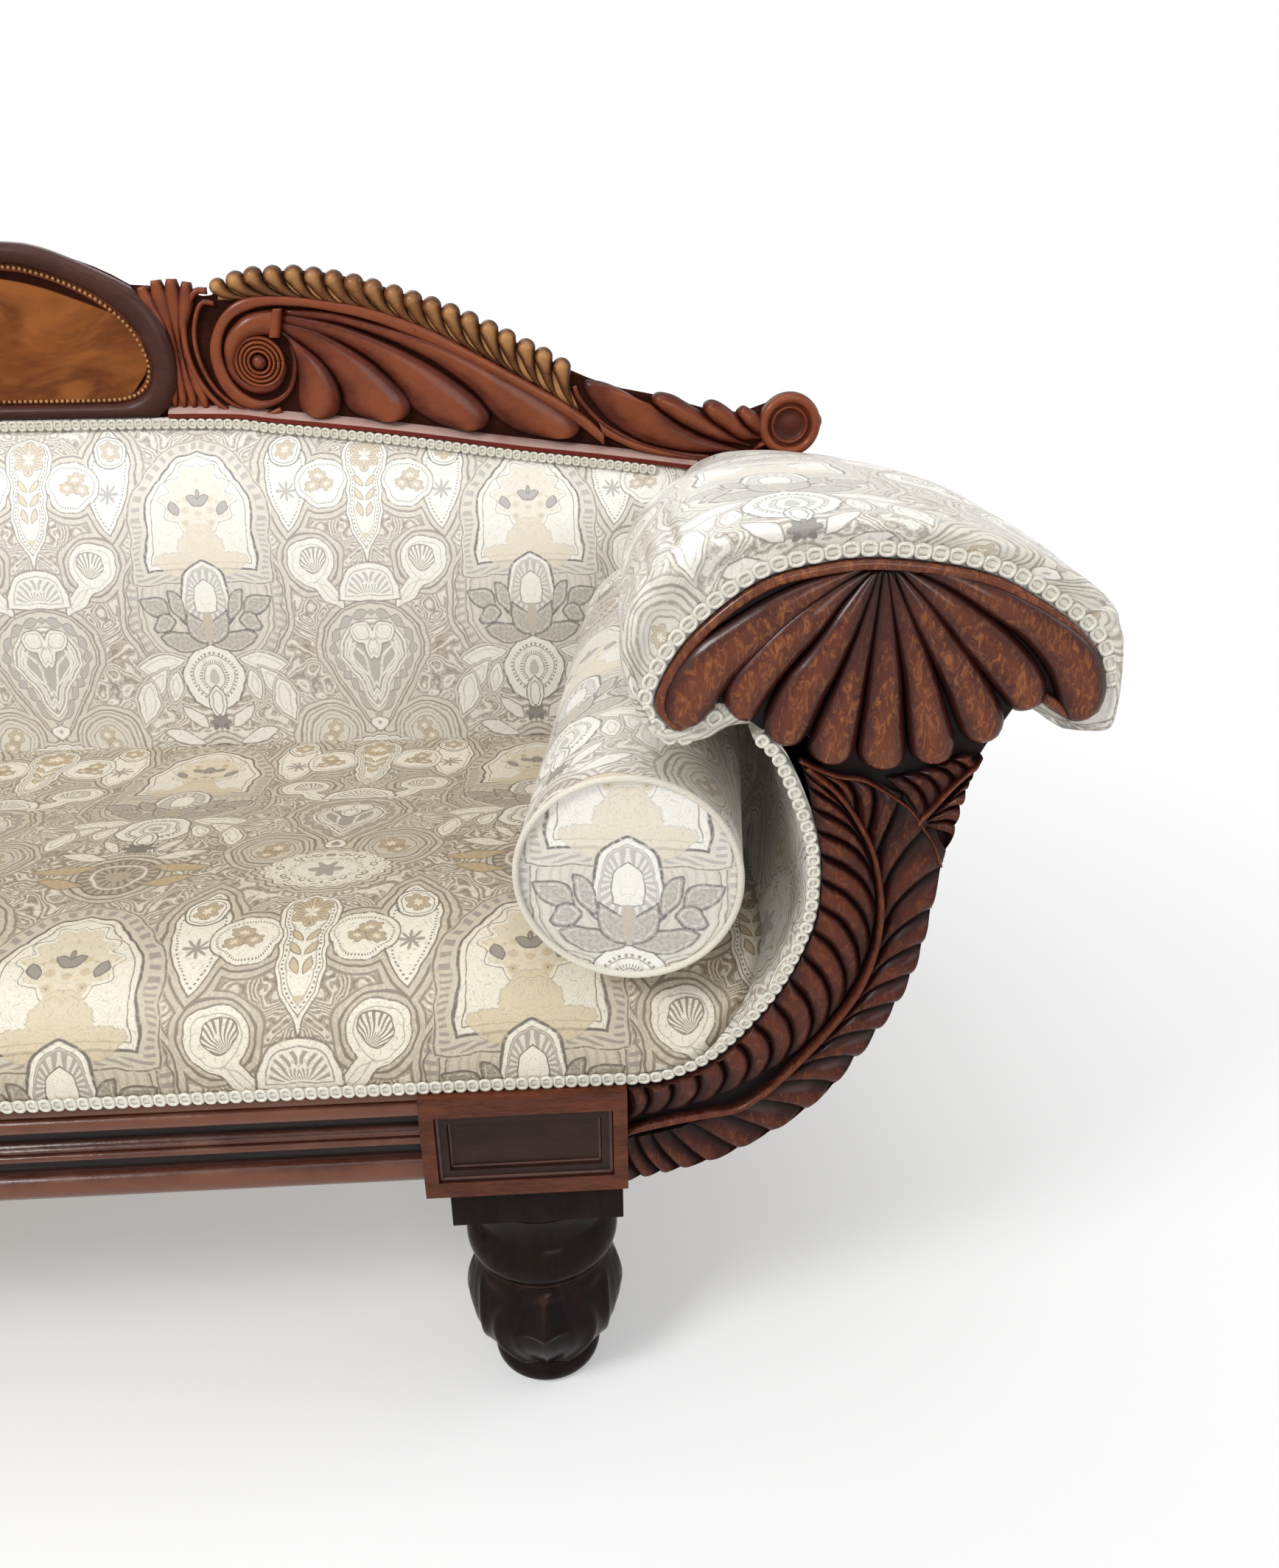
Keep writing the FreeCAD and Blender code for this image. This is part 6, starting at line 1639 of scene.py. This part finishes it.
def outside_back():
    """Cloth over the sofa's rear, drawn tight to its edges."""
    edge = tapered(spline(arm(ARM_OUTER), 40), 1)
    top = spline(CREST_BASE[1:], 60)[::-1]
    outline = np.vstack([edge, top, (top * (-1, 1))[::-1], (edge * (-1, 1))[::-1]])
    keep = [0] + [i for i in range(1, len(outline))
                  if np.linalg.norm(outline[i] - outline[i - 1]) > 1e-3]
    outline = outline[keep]
    centre = np.array((0.0, 520.0))
    steps = ((0, 1.0), (2.2, 1.0), (3.0, 0.996), (3.2, 0.985), (3.6, 0.9), (4.0, 0.6),
             (4.2, 0.3), (4.2, 0.02))
    stack = [on_plane(centre + (outline - centre) * k, BOARD_BACK + out) for out, k in steps]
    return sharpen(grid("outside_back", stack), 60)


finish(outside_back(), back_cloth, "sofa", ["back_outer_cover"])


def bolster():
    """Round bolster with crowned ends, a slightly uneven body and a cord round each end."""
    radius, length = 82.0, 530.0
    cord, cord_run = 2.5, 79.5
    turn = np.linspace(0, 2 * np.pi, 96, endpoint=False)
    bulge = 0.6 * np.sin(turn * 3 + 0.6) + 0.3 * np.sin(turn * 5 + 2.0)
    end = [(r, 5.5 - 5.0 * math.cos(math.pi * r / 2 / radius))
           for r in (0.3, 12, 26, 40, 54, 66, 75)] + [(80.5, 2.4), (81.8, 6.0)]
    body = [(radius - 0.8 * math.sin(math.pi * k) ** 0.3 + 0.8, 6 + k * (length - 12))
            for k in np.linspace(0.02, 0.98, 34)]
    profile = end + body + [(r, length - level) for r, level in end[::-1]]
    rings, uv = [], []
    run = arc_length(np.array(profile)) * MM
    for index, (r, level) in enumerate(profile):
        share = min(1.0, r / radius) ** 2
        wave = bulge * share * (0.6 + 0.4 * math.sin(level / 60))
        rr = r + wave * (0.4 if r < 80 else 1.0) - 0.9 * share
        rings.append(np.stack([rr * np.sin(turn), np.full(96, level), -rr * np.cos(turn)], 1))
        full = np.append(turn, 2 * np.pi)
        uv.append(np.stack([full * radius * MM + 0.03, np.full(97, run[index])], 1)
                  if 6 <= level <= length - 6 else
                  np.stack([r * np.sin(full) * MM, -r * np.cos(full) * MM + 0.27], 1))
    obj = grid("bolster_cover_right", rings, uv=np.array(uv))
    rings = []
    for level in (2.5, length - 2.5):
        ring = []
        for k in turn:
            base = cord_run + 0.35 * math.sin(3 * k + 0.6)
            ring.append([((base + cord * math.cos(q)) * math.sin(k), level + cord * math.sin(q),
                          -(base + cord * math.cos(q)) * math.cos(k))
                         for q in np.linspace(0, 2 * np.pi, 12, endpoint=False)])
        rings.append(grid("ring", ring + ring[:1], caps=False))
    piping = joined("bolster_cord_right", rings)
    yaw = Matrix.Rotation(math.radians(-7), 4, "Z")
    place = Matrix.Translation(Vector((769, FRONT + 10, 441.4 + radius)) * MM) @ yaw
    for thing in (obj, piping):
        thing.data.transform(place)
    return obj, piping


bolster_body, bolster_cord = bolster()
pair(bolster_body, cloth, "bolster_right", ["bolster_right"])
piping_cloth = plain_cloth("piping_cloth", (0.72, 0.68, 0.58), (0.5, 0.45, 0.36))
pair(bolster_cord, piping_cloth, "bolster_right", ["bolster_piping_right"])


# Braid: a band painted dark as the shade under a chain of pale loops
def gimp(name, centre, width, link=9.3):
    """centre is the braid's middle line in (x, y, z); its loops stand towards -Y."""
    cord, corners, sides = 1.35, 20, 8
    step = arc_length(centre)
    count = max(3, int(round(step[-1] / link)))
    pitch = step[-1] / count

    def along_line(at):
        ahead = sampled(centre, at + 1, step) - sampled(centre, at - 1, step)
        ahead /= np.linalg.norm(ahead, axis=1)[:, None]
        away = np.tile((0.0, -1.0, 0.0), (len(at), 1))
        return sampled(centre, at, step), ahead, away, np.cross(away, ahead)

    def squared(value, power):
        return np.sign(value) * np.abs(value) ** power

    line, ahead, away, side = along_line((np.arange(count) + 0.5) * pitch)
    turn = np.linspace(0, 2 * np.pi, corners, endpoint=False)
    tube = np.linspace(0, 2 * np.pi, sides, endpoint=False)
    x = squared(np.sin(turn), 0.8) * (pitch / 2 - 1.15)
    y = squared(np.cos(turn), 0.7) * (width / 2 - 1.4)
    nx, ny = np.sin(turn), np.cos(turn)
    u = x[:, None] + nx[:, None] * cord * np.cos(tube)
    v = y[:, None] + ny[:, None] * cord * np.cos(tube)
    w = 1.9 + 0.35 * np.sin(turn)[:, None] + 1.2 * np.sin(tube)
    points = (line[:, None, None] + ahead[:, None, None] * u[..., None]
              + side[:, None, None] * v[..., None] + away[:, None, None] * w[..., None])
    first = np.arange(count)[:, None, None] * corners * sides
    ring = np.arange(corners)[None, :, None]
    spot = np.arange(sides)[None, None, :]

    def number(r, s):
        return first + (r % corners) * sides + s % sides

    faces = np.stack([number(ring, spot), number(ring + 1, spot), number(ring + 1, spot + 1),
                      number(ring, spot + 1)], -1).reshape(-1, 4)
    chain = mesh_object("chain", points.reshape(-1, 3), faces.tolist(),
                        wear_and_light=np.full(count * corners * sides, 0.9))
    half = width / 2 - 1.9
    line, ahead, away, side = along_line(np.linspace(0, step[-1], count * 3))
    base = [line - side * half + away * 0.2, line - side * half + away * 1.3,
            line + away * 2.0, line + side * half + away * 1.3, line + side * half + away * 0.2]
    # The band's attribute is lowest at its edges, where the painted shade is darkest.
    band = grid("ground", np.stack(base, 1), wear_and_light=np.tile((0.1, 0.25, 0.42, 0.25, 0.1),
                                                          (len(line), 1)))
    return joined(name, [chain, band])


xs = np.linspace(-BLOCK_OUT, BLOCK_OUT, 60)
seat_braid = on_plane(np.stack([xs, np.full(60, SEAT_BASE + 5.6)], 1), FRONT + 11.6)
finish(gimp("seat_braid", seat_braid, 11.5), braid, "sofa", ["gimp_seat"])

nook = shifted(spline(arm(ARM_INNER), 60), 4.9)
crown = shifted(spline(arm(FAN_LEFT_HOOK[2:-1] + FAN_TOP), 80), 5.4)
arm_braid = [gimp("nook_braid", on_plane(nook, FACE - 0.5), 10.0),
             gimp("crown_braid", on_plane(crown, FACE - 0.5), 11.0, 11.6)]
pair(joined("arm_braid_right", arm_braid), braid, "sofa", ["gimp_arm_right"])

top = spline(CREST_BASE, 90)
top = np.vstack([(top * (-1, 1))[::-1][:-1], top])
top = top[np.abs(top[:, 0]) < 845] + (0, -6.0)
edge_y = BACK_FOOT + (BOARD - BACK_FOOT) * 0.9
finish(gimp("back_braid", on_plane(top, edge_y - 0.3), 11.0), braid, "sofa", ["gimp_back"])

# Carried-over parts
SIDED = {"leg_block": block_wood, "side_rail": plain_wood, "rear_leg": leg_wood,
         "back_stile": plain_wood, "arm_stretchers": plain_wood, "rear_arm_frame": mahogany}
MIDDLE = {"front_rail": plain_wood, "back_rail": plain_wood, "cross_bearers": plain_wood,
          "back_muntin": plain_wood, "crest_rail": crest_back_painted_shade, "crest_panel": panel_wood,
          "seat_webbing": web_cloth}
carried = [(name + side, made) for name, made in SIDED.items() for side in ("_right", "_left")]
for name, made in carried + list(MIDDLE.items()):
    nodes[name].data.materials.clear()
    nodes[name].data.materials.append(made)


# Floor, light and camera
def studio():
    floor = bpy.data.meshes.new("floor")
    floor.from_pydata([(-40, -40, 0), (40, -40, 0), (40, 40, 0), (-40, 40, 0)], [], [(0, 1, 2, 3)])
    stand = bpy.data.objects.new("floor", floor)
    bpy.context.scene.collection.objects.link(stand)
    paint = Paint("pale_floor")
    split = paint.node("ShaderNodeSeparateXYZ", Vector=paint.place())
    away = hypot(paint.value(split.outputs[0]) * 0.72, paint.value(split.outputs[1]))
    glow = paint.seen() * (away.ramp(0.5, 1.7) * 0.72 + 0.28)
    paint.set(Base_Color=(0.9, 0.9, 0.9, 1), Roughness=0.9, Specular_IOR_Level=0.1)
    paint.glow(glow, "ShaderNodeEmission", "Material Output")
    floor.materials.append(paint.material)
    world = bpy.data.worlds.new("studio")
    bpy.context.scene.world = world
    room = Paint("studio", world)
    room.set(Color=(1, 1, 1, 1), Strength=0.25)
    room.glow(room.seen(), "ShaderNodeBackground", "World Output")
    for name, spot, target, size, power in (
            ("key", (-1.6, -2.0, 3.0), (0.4, 0, 0.5), 1.1, 93),
            ("front", (1.6, -3.6, 1.9), (0.6, 0, 0.5), 1.5, 30),
            ("top", (0.6, -0.3, 3.6), (0.5, 0, 0.4), 2.6, 44),
            ("side", (3.6, 0.2, 2.2), (0.8, 0, 0.5), 1.8, 22),
            ("rear", (-0.5, 3.6, 2.6), (0, 0.3, 0.5), 2.4, 34)):
        light = bpy.data.lights.new(name, "AREA")
        light.size = size
        light.energy = power
        lamp = bpy.data.objects.new(name, light)
        lamp.location = spot
        lamp.rotation_euler = (Vector(target) - Vector(spot)).to_track_quat("-Z", "Y").to_euler()
        bpy.context.scene.collection.objects.link(lamp)


# The photograph's camera: focal length and frame height in its pixels, place in metres
FOCAL, FRAME_HEIGHT, CAMERA_PLACE = 1740, 2129, (0.73, -1.122, 0.979)


def camera():
    pitch, yaw, roll = (math.radians(k) for k in (26.0, 3.5, 0.4))
    ahead = Vector((math.sin(yaw) * math.cos(pitch), math.cos(yaw) * math.cos(pitch),
                    -math.sin(pitch)))
    right = Vector((math.cos(yaw), -math.sin(yaw), 0))
    up = right.cross(ahead)
    side = right * math.cos(roll) - up * math.sin(roll)
    head = up * math.cos(roll) + right * math.sin(roll)
    lens = bpy.data.cameras.new("camera")
    lens.sensor_fit = "VERTICAL"
    lens.sensor_height = 36.0
    lens.lens = FOCAL * lens.sensor_height / FRAME_HEIGHT
    lens.clip_start = 0.02
    view = bpy.data.objects.new("camera", lens)
    turn = Matrix((side, head, -ahead)).transposed().to_4x4()
    view.matrix_world = Matrix.Translation(CAMERA_PLACE) @ turn
    bpy.context.scene.collection.objects.link(view)
    bpy.context.scene.camera = view


studio()
camera()
bpy.context.scene.view_settings.view_transform = "Standard"
